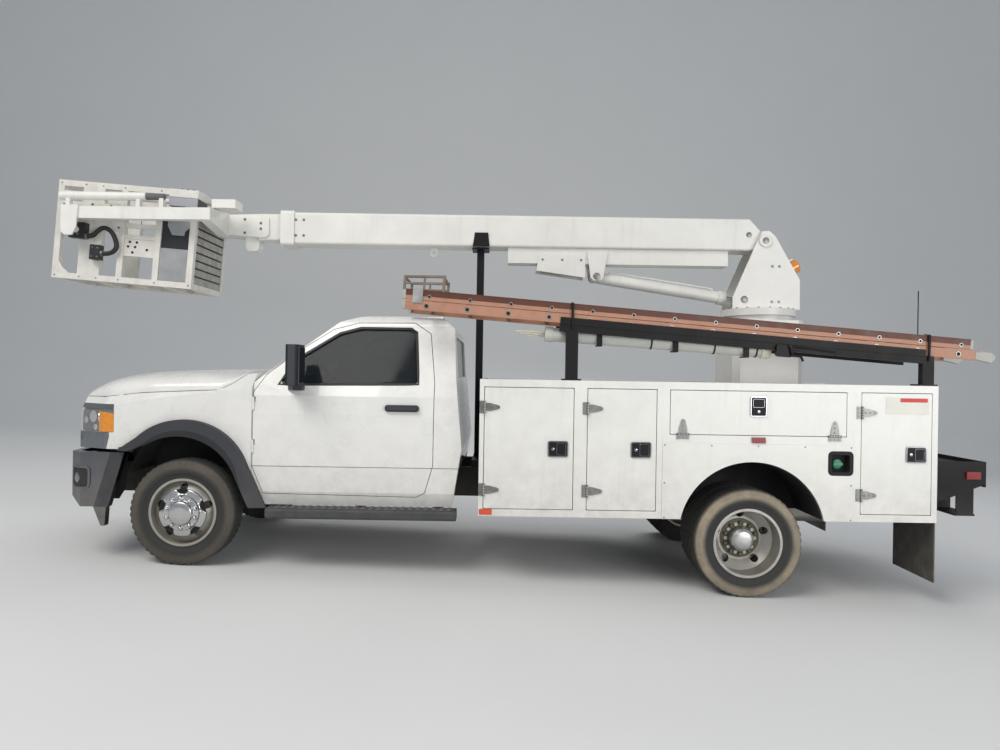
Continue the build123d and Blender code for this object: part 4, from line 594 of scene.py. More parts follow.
def strap_hinge(moving, fixed, x, z, drop):
    """Tapered strap with three bolts and the barrel's outer knuckles, and the fixed leaf."""
    start, across = (z, x) if drop else (x, z)
    end = start + STRAP_LENGTH
    half = [(start + 5, 31), (start + 40, 30), (end - 12, 17), (end, 10)]
    outline = [(along, across - reach) for along, reach in half] + [(end + 4, across)]
    outline += [(along, across + reach) for along, reach in half[::-1]]
    side_prism(moving, swap(outline, drop), -BODY_HALF - 6.5, -BODY_HALF)
    for along in (28, 62, 94):
        px, pz = swap([(start + along, across)], drop)[0]
        bolt(moving, (px, -BODY_HALF - 6, pz), OUTWARD, 7.5, 6)
    leaf = oblong((start - 38, start - 7), (across - 46, across + 46))
    side_prism(fixed, swap(leaf, drop), -BODY_HALF - 7, -BODY_HALF)
    for offset in (-28, 0, 28):
        px, pz = swap([(start - 25, across + offset)], drop)[0]
        bolt(fixed, (px, -BODY_HALF - 6.5, pz), OUTWARD, 6.5, 5)
    direction = (1, 0, 0) if drop else (0, 0, 1)
    origin = (x, -BODY_HALF - 12, z)
    for index, low in enumerate((-47, -28, -9, 10, 29)):
        mesh = fixed if index % 2 else moving
        lathe(mesh, [(low, 7), (low + 1, 8.4), (low + 17, 8.4), (low + 18, 7)], origin, direction, 16)


def paddle_latch(rim, paddle, x, z, drop):
    """Chrome rim round a black dish with its pull paddle and lock barrel."""
    half_x, half_z = (61, 75) if drop else (75, 60)
    outer = rounded((x - half_x, x + half_x), (z - half_z, z + half_z), 15)
    inner = rounded((x - half_x + 8, x + half_x - 8), (z - half_z + 8, z + half_z - 8), 10)
    frame_ring(rim, outer, inner, -BODY_HALF, -BODY_HALF - 10)
    side_prism(paddle, inner, -BODY_HALF - 7.6, -BODY_HALF - 1)
    if drop:
        grip = rounded((x - 40, x + 40), (z - 5, z + 55), 8)
        lock = (x, -BODY_HALF - 7, z - 38)
    else:
        grip = rounded((x - 8, x + 56), (z - 42, z + 42), 8)
        lock = (x - 38, -BODY_HALF - 7, z)
    side_prism(paddle, grip, -BODY_HALF - 12, -BODY_HALF - 7)
    frame_ring(rim, grown(grip, 2.5), grown(grip, -1), -BODY_HALF - 6, -BODY_HALF - 11)
    lathe(rim, [(0, 12), (4, 12), (5, 8)], lock, OUTWARD, 16)


fixed_leaves = bmesh.new()
for name, x_from, z_from, latch_x, latch_z, drop in LOCKERS:
    straps, rim, paddle = bmesh.new(), bmesh.new(), bmesh.new()
    places = [(x, z_from) for x in DROP_HINGE_X] if drop else [(x_from, z) for z in HINGE_LEVELS]
    for x, z in places:
        strap_hinge(straps, fixed_leaves, x, z, drop)
    paddle_latch(rim, paddle, latch_x, latch_z, drop)
    body = name + "_{hand}"
    both_sides(name + "_straps", straps, body, zinc)
    both_sides(name + "_latch_rim", rim, body, dark_chrome, slot="rod_chrome", bevel=1)
    both_sides(name + "_latch_paddle", paddle, body, black_paint, bevel=1.5)
both_sides("hinge_leaves", fixed_leaves, "chassis", zinc)

# Wheel arch panel: its bolts, and near-black half barrels behind both axles' wheels: painted shade over the
# rear wheel room, and the front fender liner darkened to painted shade
panel_bolts = bmesh.new()
panel_places = [(x, 1126) for x in (3636, 3982, 4328, 4674, 5016)]
panel_places += [(x, z) for x in (3636, 5016) for z in (590, 846)]
near_bolts(panel_bolts, panel_places, -BODY_HALF - 2, 7, 4)
both_sides("arch_panel_bolts", panel_bolts, "chassis", zinc)


def arch_liner_and_shade(name, centre_x, centre_z, radius, first_angle, y_outer, y_inner):
    """Half a barrel over a wheel, closed by a sheet on its inner side, in near-black painted shade."""
    bm = bmesh.new()
    angles = [math.radians(first_angle + (180 - 2 * first_angle) * step / 36) for step in range(37)]
    spokes = [(math.cos(angle), math.sin(angle)) for angle in angles]
    arc, under = ([(centre_x + reach * cos, centre_z + reach * sin) for cos, sin in spokes]
                  for reach in (radius, radius - 2))
    side_prism(bm, arc + under[::-1], y_outer, y_inner)
    side_prism(bm, arc, y_inner - 2, y_inner)
    both_sides(name, bm, "chassis", painted_shade_black, slot="dark_plastic")


arch_liner_and_shade("front_liner_shade", FRONT_HUB.x, 757, 438, 10, -978, -575)
arch_liner_and_shade("rear_arch_shade", WHEELBASE, 465, 542, 13, -1211, -717)

# Fuel filler in its recess, reflectors low on the body, and a blank plate
FILLER = (4938, 1008)


def about_filler(half_x, half_z, radius):
    """A round-cornered outline about the filler's middle."""
    x, z = FILLER
    return rounded((x - half_x, x + half_x), (z - half_z, z + half_z), radius)


# The recess's walls and back are near-black: painted shade inside the recess
filler = bmesh.new()
recess = about_filler(66, 64, 18)
side_prism(filler, recess, -1158, -1155.2)
frame_ring(filler, grown(recess, 1), grown(recess, -1), -1157, -BODY_HALF - 1)
add_piece("filler_recess_shade", filler, "chassis", painted_shade_black)
bezel = bmesh.new()
frame_ring(bezel, about_filler(94, 91, 34), recess, -BODY_HALF, -BODY_HALF - 6)
for corner_x in (-78, 78):
    for corner_z in (-75, 75):
        rivet(bezel, (FILLER[0] + corner_x, -BODY_HALF - 6, FILLER[1] + corner_z), OUTWARD, 7)
add_piece("filler_bezel", bezel, "chassis", black_paint, bevel=1.5)
filler_cap = bmesh.new()
cap_place = (FILLER[0] - 6, -1157, FILLER[1] - 8)
lathe(filler_cap, [(0, 38), (16, 36), (19, 31), (20, 10)], cap_place, OUTWARD, 28)
cap_grip = rounded((FILLER[0] - 42, FILLER[0] + 30), (FILLER[1] - 18, FILLER[1] + 4), 10)
side_prism(filler_cap, cap_grip, -1190, -1176)
add_piece("filler_cap", filler_cap, "chassis", cap_green, bevel=1)
reflectors = bmesh.new()
side_prism(reflectors, rounded((2268, 2362), (590, 632), 6), -BODY_HALF - 7, -BODY_HALF)
both_sides("low_reflector", reflectors, "chassis", reflector_red, bevel=1.5)
plate = bmesh.new()
side_prism(plate, rounded((5267, 5585), (1380, 1504), 6), -BODY_HALF - 3, -BODY_HALF)
for x in (5282, 5570):
    rivet(plate, (x, -BODY_HALF - 3, 1442), OUTWARD, 5)
add_piece("blank_plate", plate, "locker_4_left", plate_cream)
plate_band = bmesh.new()
side_prism(plate_band, rounded((5372, 5574), (1469, 1498), 3), -BODY_HALF - 4.5, -BODY_HALF - 2)
add_piece("blank_plate_band", plate_band, "locker_4_left", band_red)


# Hood: one smooth skin whose edge follows the seam over the fenders, with a raised middle
# Columns: x, half width, side top, shoulder half width, shoulder top
NOSE_SECTIONS = [(-890, 850, 1290, 740, 1418), (-640, 985, 1330, 820, 1500), (-330, 1008, 1390, 860, 1565),
                 (505, 1006, 1500, 880, 1605)]
HOOD_SEAM = [(-920, 1402), (-687, 1404), (-348, 1443), (245, 1474), (334, 1520), (430, 1600), (535, 1622)]
# Columns: x, crown height, squareness of the section
HOOD_CROWN = [(-890, 1409, 5), (-888, 1432, 5), (-880, 1455, 5), (-862, 1480, 5), (-830, 1504, 5),
              (-790, 1523, 5.5), (-710, 1550, 6), (-630, 1569, 6), (-464, 1593, 6), (-232, 1612, 5.5),
              (0, 1622, 5), (245, 1629, 4), (334, 1633, 3.2), (430, 1637, 2.4)]
HOOD_STATIONS = [-890, -889, -888, -884, -877, -866, -850, -830, -805, -775, -740, -700, -655, -605, -550,
                 -490, -425, -350, -270, -185, -100, 0, 80, 160, 245, 275, 305, 334, 366, 398, 429]


def row_at(table, x):
    """The table's row at x, straight between its neighbours."""
    for low, high in zip(table, table[1:]):
        if x <= high[0]:
            share = (x - low[0]) / (high[0] - low[0])
            return [a + (b - a) * share for a, b in zip(low, high)]
    return list(table[-1])


hood_skin = bmesh.new()
rows = []
for x in HOOD_STATIONS:
    seam_z = row_at(HOOD_SEAM, x)[1] + 5
    _, half, side_top, shoulder, shoulder_top = row_at(NOSE_SECTIONS, x)
    seam_y = half + (shoulder - half) * (seam_z - side_top) / (shoulder_top - side_top)
    _, crown, squareness = row_at(HOOD_CROWN, x)
    dome = 9 * min(1, (crown - seam_z) / 90)
    row = []
    for step in range(-24, 25):
        share = math.sin(math.pi / 2 * step / 24)
        height = (crown - seam_z) * (1 - abs(share) ** squareness) ** 0.4
        rise = min(max((590 - abs(share) * seam_y) / 70, 0), 1)
        height += dome * rise * rise * (3 - 2 * rise)
        row.append(hood_skin.verts.new((x, share * seam_y, seam_z + height)))
    rows.append(row)
join_rows(hood_skin, rows)
hood_skin.normal_update()
bmesh.ops.solidify(hood_skin, geom=hood_skin.faces[:], thickness=20)
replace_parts(add_piece("hood_skin", hood_skin, "hood", cab_white, smooth=50), "hood")

# Cab: rubber round the windows, door handles and mirrors, lamp bowls
# Columns: height, half width of the cab's side
CAB_SKIN = [(594, 945), (700, 985), (900, 1003), (1300, 1003), (1440, 990), (1560, 950), (1985, 800),
            (2045, 770)]
WINDOW = [(700, 1530), (1773, 1546), (1740, 1950), (1700, 1975), (1300, 1975), (1140, 1930), (843, 1735)]
seal = bmesh.new()
line = divided(WINDOW, 90)
loops = []
for growth, depth in ((15, 1), (12, 5), (-3, 5), (-4, -30), (4, -30), (12, -8)):
    loops.append([seal.verts.new((x, -row_at(CAB_SKIN, z)[1] - depth, z)) for x, z in grown(line, growth)])
join_rings(seal, loops + loops[:1])
both_sides("window_seal", seal, "door_{hand}", hose_rubber, smooth=50)

handle = bmesh.new()
side_prism(handle, rounded((1529, 1791), (1329, 1381), 22), -1027, -1001)
side_prism(handle, rounded((1545, 1775), (1340, 1372), 14), -1036, -1027)
both_sides("door_handle", handle, "door_{hand}", dark_plastic, bevel=3)
mirror_face = bmesh.new()
mirror_edge = [(-1262, 1545), (-1095, 1545), (-1095, 1805), (-1262, 1805)]
face, back = ([mirror_face.verts.new((x, y, z)) for y, z in mirror_edge] for x in (932, 930))
mirror_face.faces.new(face)
mirror_face.faces.new(back)
join_rings(mirror_face, [face, back])
both_sides("mirror_glass", mirror_face, "door_{hand}", mirror_glass)

shell_cuts = [((0, -981, 0), (0, 1, 0)), ((0, 0, 1483), (0, 0, -1)), ((0, 0, 1840), (0, 0, 1))]
for hand, sign in (("left", 1), ("right", -1)):
    cuts = [(Vector((px, sign * py, pz)), Vector((nx, sign * ny, nz)))
            for (px, py, pz), (nx, ny, nz) in shell_cuts]
    source = bmesh.new()
    for facing in ((0, -1, 0), (0, 1, 0), (1, 0, 0), (-1, 0, 0), (0, 0, 1), (0, 0, -1)):
        shell = skin_of(f"door_{hand}", cuts, facing, 1.6)
        shell_mesh = bpy.data.meshes.new("shell_form")
        shell.to_mesh(shell_mesh)
        shell.free()
        source.from_mesh(shell_mesh)
        bpy.data.meshes.remove(shell_mesh)
    add_piece(f"mirror_shell_{hand}", source, f"door_{hand}", dark_plastic)

bowls = bmesh.new()
for y, radius in ((-700, 62), (-810, 62), (-905, 50)):
    x = -812 + (abs(y) - 700) * 0.55
    profile = [(0, radius), (12, radius * 0.95), (40, radius * 0.6), (52, 12)]
    lathe(bowls, profile, (x, y, 1248), (1, 0, 0), 24)
LAMP_SIDE = (-0.47, -0.88, 0)
for x, y, z, radius in ((-762, -909, 1252, 46), (-735, -923, 1170, 24), (-838, -868, 1222, 26)):
    lathe(bowls, [(0, radius), (-5, radius * 0.9), (-11, radius * 0.5), (-12, 8)], (x, y, z), LAMP_SIDE, 24)
    lathe(bowls, [(-11, 13), (-5, 11), (-2, 6), (-1, 2)], (x, y, z), LAMP_SIDE, 16)
both_sides("lamp_bowls", bowls, "chassis", chrome)


def arc_through(first, middle, last, steps):
    """Points of the circle's arc through three (x, z) points."""
    a, b, c = (Vector(point) for point in (first, middle, last))
    twice = 2 * (a.x * (b.y - c.y) + b.x * (c.y - a.y) + c.x * (a.y - b.y))
    centre = Vector((
        (a.length_squared * (b.y - c.y) + b.length_squared * (c.y - a.y)
         + c.length_squared * (a.y - b.y)) / twice,
        (a.length_squared * (c.x - b.x) + b.length_squared * (a.x - c.x)
         + c.length_squared * (b.x - a.x)) / twice,
    ))
    start, end = (math.atan2(point.y - centre.y, point.x - centre.x) for point in (a, c))
    radius = (a - centre).length
    angles = [start + (end - start) * step / steps for step in range(steps + 1)]
    return [(centre.x + radius * math.cos(angle), centre.y + radius * math.sin(angle)) for angle in angles]


# Darker lip along the inner edge of each fender flare
lip_line = [(440, 728), (420, 774)] + arc_through((400, 820), (0, 1118), (-270, 1059), 40)
lip_line += [(-320, 1039), (-370, 1019)]
lip = bmesh.new()
lip_rows = []
for index, (x, z) in enumerate(lip_line):
    before = Vector(lip_line[max(index - 1, 0)])
    after = Vector(lip_line[min(index + 1, len(lip_line) - 1)])
    run = (after - before).normalized()
    width = 46 * math.sin(math.pi * index / (len(lip_line) - 1)) ** 0.5
    lip_rows.append([lip.verts.new((x + run.y * reach, depth, z - run.x * reach))
                     for reach, depth in ((-1, -1050), (-1, -1068), (width, -1068), (width, -1066))])
join_rows(lip, lip_rows)
both_sides("flare_lip", lip, "chassis", black_plastic)


# Trim that follows a solid's skin; a cut is a point and the direction in which all beyond it goes
def keep_above(z):
    return (0, 0, z), (0, 0, -1)


def keep_below(z):
    return (0, 0, z), (0, 0, 1)


def keep_outside(y):
    return (0, y, 0), (0, 1, 0)


LAMP_FACING = (-0.35, -0.93, 0.1)
lamp_housing = skin_of("headlamps", [keep_above(1139), keep_outside(-650)], LAMP_FACING, -17)
both_sides("lamp_housing", lamp_housing, "chassis", grey_plastic)
# A thin dark grey strip along the crease at Z 897 on the door and cab side: painted shade in the crease
CREASE_SHADE_CUTS = [keep_below(899.5), keep_above(895), keep_outside(-900)]
for name, node_name, body in (("door_crease", "door_left", "door_{hand}"),
                              ("cab_crease_shade", "cab_shell", "chassis")):
    both_sides(name, skin_of(node_name, CREASE_SHADE_CUTS, OUTWARD, 0.8), body, grey_plastic)
# Columns: name, node, cuts, material
SKIN_TRIM = [
    ("lamp_amber", "headlamps", [((-688, 0, 1290), (-1, 0, 0)), ((-600, 0, 1286), (0.15, 0, 1)),
                                 keep_above(1139), keep_outside(-650)], amber_lens),
    ("lamp_brow", "headlamps", [keep_above(1318), keep_outside(-560)], dark_chrome),
    ("lamp_foot", "headlamps", [keep_below(1064), keep_outside(-560)], dark_chrome),
    ("lamp_cheek", "headlamps", [keep_below(1121), ((-698, 0, 0), (-1, 0, -0.3)), keep_above(1064),
                                 keep_outside(-560)], dark_chrome),
    ("lamp_divider", "front_fenders", [keep_below(1137), keep_above(1112), ((-597, 0, 0), (1, 0, 0)),
                                       keep_outside(-560)], dark_chrome),
    ("lamp_corner", "front_fenders", [keep_below(1113), keep_above(1000),
                                      ((-594, 0, 1113), (0.97, 0, -0.22)), keep_outside(-560)], dark_chrome),
    ("bumper_end", "front_bumper", [((-574, 0, 980), (-0.96, 0, 0.28)), keep_outside(-900),
                                    keep_above(566)], dark_plastic),
]
for name, node_name, cuts, material in SKIN_TRIM:
    both_sides(name, skin_of(node_name, cuts, LAMP_FACING, 1.5), "chassis", material)

# Fog lamp, whose bezel turns round the bumper's corner
FOG_CORNER = Vector((-800, -1010, 0))
FOG_TURN = math.radians(37.3)


def fog_at(along, z, out):
    """A point about the bumper's corner; along runs rearward, and is negative on the facet."""
    turn = Matrix.Rotation(-FOG_TURN if along < 0 else 0, 3, "Z")
    return FOG_CORNER + turn @ Vector((along, -out, 0)) + Vector((0, 0, z))


FOG_RUN, FOG_RISE, FOG_ROUND = (-112, 76), (701, 878), 40
fog = bmesh.new()
fog_outer = divided(rounded(FOG_RUN, FOG_RISE, FOG_ROUND), 12)
fog_inner = grown(fog_outer, -16)
rings = [[fog.verts.new(fog_at(along, z, out)) for along, z in outline]
         for outline, out in ((fog_outer, -1), (fog_outer, 9), (fog_inner, 9), (fog_inner, -1))]
join_rings(fog, rings)
both_sides("fog_bezel", fog, "chassis", grey_plastic)
fog_back = bmesh.new()
columns = []
for along in (-95, -93, -88, -80, -60, -30, -0.01, 0.01, 20, 40, 50, 56, 59):
    to_end = min(along - FOG_RUN[0] - 16, FOG_RUN[1] - 16 - along)
    missing = max(16 - to_end, 0)
    drop = 32 - math.sqrt(max(256 - missing * missing, 0))
    low_high = (FOG_RISE[0] + drop, FOG_RISE[1] - drop)
    columns.append([fog_back.verts.new(fog_at(along, z, 1)) for z in low_high])
join_rows(fog_back, columns)
both_sides("fog_back", fog_back, "chassis", black_plastic)
fog_lens = bmesh.new()
fog_facing = fog_at(-44, 0, 1) - fog_at(-44, 0, 0)
lathe(fog_lens, [(0, 40), (4, 40), (6, 34), (6, 4)], fog_at(-44, 786, 1), fog_facing, 28)
both_sides("fog_lens", fog_lens, "chassis", dark_chrome)
# A near-black sheet behind the bumper's end, down towards the wheel: painted shade under the front corner
underbumper_shade = bmesh.new()
side_prism(underbumper_shade, [(-640, 1000), (-500, 1000), (-505, 700), (-560, 610), (-660, 610)], -890, -886)
both_sides("bumper_shade_sheet", underbumper_shade, "chassis", painted_shade_black, slot="dark_plastic")
wipers = bmesh.new()
for foot in (-380, 330):
    rod(wipers, [(560, foot, 1648), (640, foot + 60, 1712), (700, foot + 300, 1750)], 7, 8)
add_piece("wipers", wipers, "chassis", black_paint)
board_ribs = bmesh.new()
for x in range(700, 2060, 60):
    box(board_ribs, (x, x + 26), (-1070, -935), (585, 588.5))
both_sides("board_treads", board_ribs, "chassis", grey_plastic, bevel=1)

# Wheels: chrome cover with five notches and ten nuts in front, hub cap and nuts behind
COVER_FACE = -1037
COVER_RADIUS, COVER_SEGMENTS = 183, 180
NOTCH_CIRCLE, NOTCH_RADIUS, NOTCH_START = 192, 48, 18


def notched_edge():
    """Outline of the cover in side view, cut round the wheel's hand holes."""
    notches = [(NOTCH_CIRCLE * math.cos(math.radians(NOTCH_START + 72 * index)),
                NOTCH_CIRCLE * math.sin(math.radians(NOTCH_START + 72 * index))) for index in range(5)]
    outline = []
    for cos, sin in circle(COVER_SEGMENTS):
        reach = COVER_RADIUS
        for nx, nz in notches:
            along = nx * cos + nz * sin
            aside_squared = nx * nx + nz * nz - along * along
            if along > 0 and aside_squared < NOTCH_RADIUS ** 2:
                reach = min(reach, along - math.sqrt(NOTCH_RADIUS ** 2 - aside_squared))
        outline.append((reach * cos, reach * sin))
    return outline


cover = bmesh.new()
edge = notched_edge()
rings = []
for share, out in ((0.99, 12), (1.0, 0), (0.985, -7), (0.94, -10)):
    rings.append([cover.verts.new((x * share, COVER_FACE + out, FRONT_HUB.z + z * share)) for x, z in edge])
for radius, out in ((138, -14), (132, -27), (96, -28), (92, -31), (88, -50), (80, -56), (40, -58)):
    rings.append([cover.verts.new((radius * cos, COVER_FACE + out, FRONT_HUB.z + radius * sin))
                  for cos, sin in circle(COVER_SEGMENTS)])
join_rings(cover, rings)
cover.faces.new(rings[-1])
both_sides("front_cover", cover, "front_wheel_{hand}", cover_chrome, smooth=50)
# Near-black ring behind the cover's notches: painted shade in the wheel's hand holes
hand_hole_shade = bmesh.new()
HAND_HOLE_SHADE_RING = [(0.5, 136), (0.5, 181), (2, 181), (2, 136)]
lathe(hand_hole_shade, HAND_HOLE_SHADE_RING, (0, COVER_FACE, FRONT_HUB.z), OUTWARD, 60, True)
both_sides("hand_hole_shade", hand_hole_shade, "front_wheel_{hand}", painted_shade_black)
cover_nuts = bmesh.new()
for cos, sin in circle(10, 0.5):
    place = (114 * cos, COVER_FACE - 27, FRONT_HUB.z + 114 * sin)
    lathe(cover_nuts, [(0, 17), (14, 15), (22, 11), (25, 4)], place, OUTWARD, 14)
both_sides("cover_nuts", cover_nuts, "front_wheel_{hand}", cover_chrome, smooth=50)
dish = bmesh.new()
dish_profile = [(0, 150), (6, 150), (10, 140), (14, 96), (14, 60)]
lathe(dish, dish_profile, (WHEELBASE, -954, REAR_HUB_Z), OUTWARD, 60)
for cos, sin in circle(10, 0.5):
    place = (WHEELBASE + 120 * cos, -966, REAR_HUB_Z + 120 * sin)
    lathe(dish, [(0, 18), (2, 18), (3, 15)], place, OUTWARD, 16)
    lathe(dish, [(2, 14), (20, 14), (23, 11)], place, OUTWARD, 6)
both_sides("rear_flange", dish, "rear_wheels_{hand}", olive_metal)
cap = bmesh.new()
cap_profile = [(0, 92), (60, 90), (78, 84), (90, 66), (93, 60), (93, 8)]
lathe(cap, cap_profile, (WHEELBASE, -964, REAR_HUB_Z), OUTWARD, 48)
both_sides("rear_cap", cap, "rear_wheels_{hand}", aluminium)

# Boom and turret: bolts, shoe, pin caps, cylinder gland and pipe
collar = bmesh.new()
near_bolts(collar, [(x, z) for x in (580, 650) for z in (2832, 2971)], -124, 9, 8)
near_bolts(collar, [(x, 2655) for x in (2770, 2945, 3112)], -108, 8, 7)
both_sides("boom_bolts", collar, "outer_boom", zinc)
shoe = bmesh.new()
side_prism(shoe, [(2166, 2881), (2149, 2758), (2299, 2758), (2284, 2881)], -139, -124)
both_sides("boom_shoe", shoe, "outer_boom", black_paint, bevel=2)
BOOM_PIN = (4724, -177, 2841)
CYLINDER_PIN, CYLINDER_EYE = Vector((3252, 0, 2515)), Vector((4547, 0, 2323))
pins = bmesh.new()
lathe(pins, [(4, 28), (9, 28), (11, 22), (11, 4)], BOOM_PIN, OUTWARD, 32)
lathe(pins, [(0, 30), (6, 30), (8, 24), (8, 3)], (CYLINDER_PIN.x, -115, CYLINDER_PIN.z), OUTWARD, 28)
lathe(pins, [(0, 23), (6, 23), (8, 18), (8, 3)], (4592, -124, 2900), OUTWARD, 28)
both_sides("boom_pin_caps", pins, "outer_boom", zinc)
pin_plate = bmesh.new()
lathe(pin_plate, [(0, 54), (4, 54), (5, 52), (5, 4)], BOOM_PIN, OUTWARD, 40)
both_sides("boom_pin_plates", pin_plate, "outer_boom", body_white)
SLEW_AXIS, SLEW_BOLTS = 4725, 305
ring = bmesh.new()
for cos, sin in circle(20):
    bolt(ring, (SLEW_AXIS + SLEW_BOLTS * cos, SLEW_BOLTS * sin, 2241), (0, 0, 1), 9, 9)
for x, z in ((4790, 2306), (4852, 2306), (4790, 2618), (4852, 2618)):
    bolt(ring, (x, -165, z), OUTWARD, 10, 8)
    bolt(ring, (x, 165, z), (0, 1, 0), 10, 8)
for direction in (-1, 1):
    place = (CYLINDER_EYE.x, 165 * direction, CYLINDER_EYE.z)
    lathe(ring, [(0, 31), (5, 31), (7, 26), (7, 4)], place, (0, direction, 0), 28)
add_piece("turret_bolts", ring, "turret", zinc)
cylinder = bmesh.new()
CYLINDER_RUN = (CYLINDER_EYE - CYLINDER_PIN).normalized()
BARREL_LENGTH = (CYLINDER_EYE - CYLINDER_PIN).length - 130
above_run = Vector((-CYLINDER_RUN.z, 0, CYLINDER_RUN.x))
gland = CYLINDER_PIN + CYLINDER_RUN * (BARREL_LENGTH - 62)
gland_profile = [(0, 52.3), (0, 61), (46, 61), (50, 57), (64, 57), (64, 26)]
lathe(cylinder, gland_profile, gland, CYLINDER_RUN, 40, True)
add_piece("cylinder_gland", cylinder, "cylinder_barrel", boom_white)
pipe = bmesh.new()
pipe_route = [(120, 50), (120, 66), (150, 70), (BARREL_LENGTH - 150, 70), (BARREL_LENGTH - 120, 66),
              (BARREL_LENGTH - 120, 50)]
rod(pipe, [CYLINDER_PIN + CYLINDER_RUN * along + above_run * height for along, height in pipe_route], 7, 12)
add_piece("cylinder_pipe", pipe, "cylinder_barrel", boom_white)
beam_sleeve = bmesh.new()
box(beam_sleeve, (-237, -28), (-524, -519), (2880, 2980))
add_piece("beam_sleeve", beam_sleeve, "inner_boom", boom_white, bevel=1.5)
tip_bolts = bmesh.new()
near_bolts(tip_bolts, [(122, 2971), (264, 2939), (264, 2889), (122, 2852)], -106, 9, 8)
both_sides("tip_bolts", tip_bolts, "inner_boom", zinc)

# Platform, in its own frame: half panels, bracket, slats, console skins, bars and rails
NEAR = -350
# Flat pieces on the near side, columns: name, outline (x, z), y from, y to, material
NEAR_SHEETS = [
    ("lower_sheet", oblong((906, 1146), (52, 330)), 6, 11, sheet_grey),
    # The same grey sheet as the lower one, in near-black above: the beam's painted shadow
    ("upper_sheet_shadow", oblong((906, 1146), (332, 619)), 14, 20, panel_dark),
    ("panel_bracket", [(954, 600), (1150, 600), (1150, 522), (1106, 486), (1101, 448), (997, 448),
                       (954, 525)], 4, 13, sheet_grey),
    ("middle_bar", oblong((596, 854), (385, 418)), 6, 30, platform_white),
    ("upper_bar", oblong((596, 854), (478, 518)), 6, 30, platform_white),
    ("holed_sheet", oblong((596, 854), (236, 384)), 12, 16, platform_white),
    ("sheet_lip", oblong((596, 854), (236, 256)), 4, 12, platform_white),
    ("corner_gusset", [(50, 50), (140, 50), (128, 62), (85, 92), (64, 130), (50, 150)], 2, 10,
     platform_white),
]
for name, outline, y_from, y_to, material in NEAR_SHEETS:
    sheet = bmesh.new()
    side_prism(sheet, outline, NEAR + y_from, NEAR + y_to)
    add_piece(name, sheet, "platform", material, PLATFORM_POSE, bevel=1)
# Near-black discs on the holed sheet: painted shade in its holes
sheet_hole_shades = bmesh.new()
for x, z in ((640, 358), (700, 358), (628, 318), (688, 318), (668, 270), (790, 300)):
    lathe(sheet_hole_shades, [(0, 11), (1.5, 11), (1.5, 3)], (x, NEAR + 12, z), OUTWARD, 16)
add_piece("sheet_hole_shades", sheet_hole_shades, "platform", painted_shade_black, PLATFORM_POSE)
slats = bmesh.new()
for index in range(8):
    z = 52 + index * 69
    side_prism(slats, [(1188, z + 52), (1196, z), (1197, z + 6), (1189, z + 58)], -298, 308)
add_piece("end_slats", slats, "platform", slat_grey, PLATFORM_POSE, bevel=1)
console = bmesh.new()
box(console, (948, 1199), (-353, -143), (772, 843))
add_piece("console_cap", console, "platform", platform_white, PLATFORM_POSE, bevel=5)
console_face = bmesh.new()
side_prism(console_face, rounded((951, 1196), (697, 771), 4), NEAR - 2, NEAR)
add_piece("console_face", console_face, "platform", console_grey, PLATFORM_POSE)
console_lamps = bmesh.new()
for x in (1010, 1060, 1110):
    lathe(console_lamps, [(0, 16), (8, 16), (8, 9), (24, 9), (27, 6)], (x, -250, 842), (0, 0, 1), 16)
add_piece("console_levers", console_lamps, "platform", black_paint, PLATFORM_POSE)
rail = bmesh.new()
rod(rail, [(30, NEAR + 25, 735), (948, NEAR + 25, 735)], 22, 20)
rod(rail, [(30, 335, 735), (1160, 335, 735)], 24, 20)
add_piece("round_rails", rail, "platform", platform_white, PLATFORM_POSE)

# Dark sleeve over the levelling cylinder's rod end, on top of the beam
leveller_sleeve = bmesh.new()
lathe(leveller_sleeve, [(0, 24), (2, 27.5), (148, 27.5), (150, 24)], (-576, -480, 3072), (1, 0, 0), 28)
add_piece("leveller_sleeve", leveller_sleeve, "inner_boom", grey_plastic)
platform_bolts = bmesh.new()
bracket_places = [(60, 470), (60, 630), (540, 470), (540, 630), (300, 650), (460, 650)]
near_bolts(platform_bolts, bracket_places, NEAR, 8, 7)
for x in (25, 235, 380, 570, 880, 1172):
    rivet(platform_bolts, (x, NEAR, 25), OUTWARD, 7)
    rivet(platform_bolts, (x, NEAR, 815 if x < 900 else 25), OUTWARD, 7)
add_piece("platform_bolts", platform_bolts, "platform", zinc, PLATFORM_POSE)
fittings = bmesh.new()
for end in (HOSE_ROUTE[0], HOSE_ROUTE[-1]):
    lathe(fittings, [(0, 27), (14, 27), (16, 22)], end, (1, 0, 0), 20)
for x in (200, 240):
    lathe(fittings, [(0, 9), (18, 9), (20, 6)], (x, -418, 378), OUTWARD, 14)
near_bolts(fittings, [(x, z) for x in (365, 410) for z in (200, 275)], -418, 6, 5)
add_piece("hose_fittings", fittings, "platform", zinc, PLATFORM_POSE)

# Ladder: channel rails and round rungs of its two sections, with pale end caps
LADDER_SLOPE = math.radians(4.25)
LADDER_POSE = Matrix.Translation((1668, 0, 2107)) @ Matrix.Rotation(LADDER_SLOPE, 4, "Y")
LADDER_NEAR, LADDER_FAR = -1195, -765
LADDER_LENGTH = 4337
SECTION = 69.5


def channel(bm, x_from, x_to, y, z_from, inward):
    """A C-shaped rail that opens inward."""
    flange = 28 * inward
    wall = 4 * inward
    top = z_from + SECTION
    profile = [(y, z_from), (y + flange, z_from), (y + flange, z_from + 5), (y + wall, z_from + 9),
               (y + wall, top - 9), (y + flange, top - 5), (y + flange, top), (y, top)]
    loops = [[bm.verts.new((x, py, pz)) for py, pz in profile] for x in (x_from, x_to)]
    join_rings(bm, loops)
    bm.faces.new(loops[0])
    bm.faces.new(loops[1])


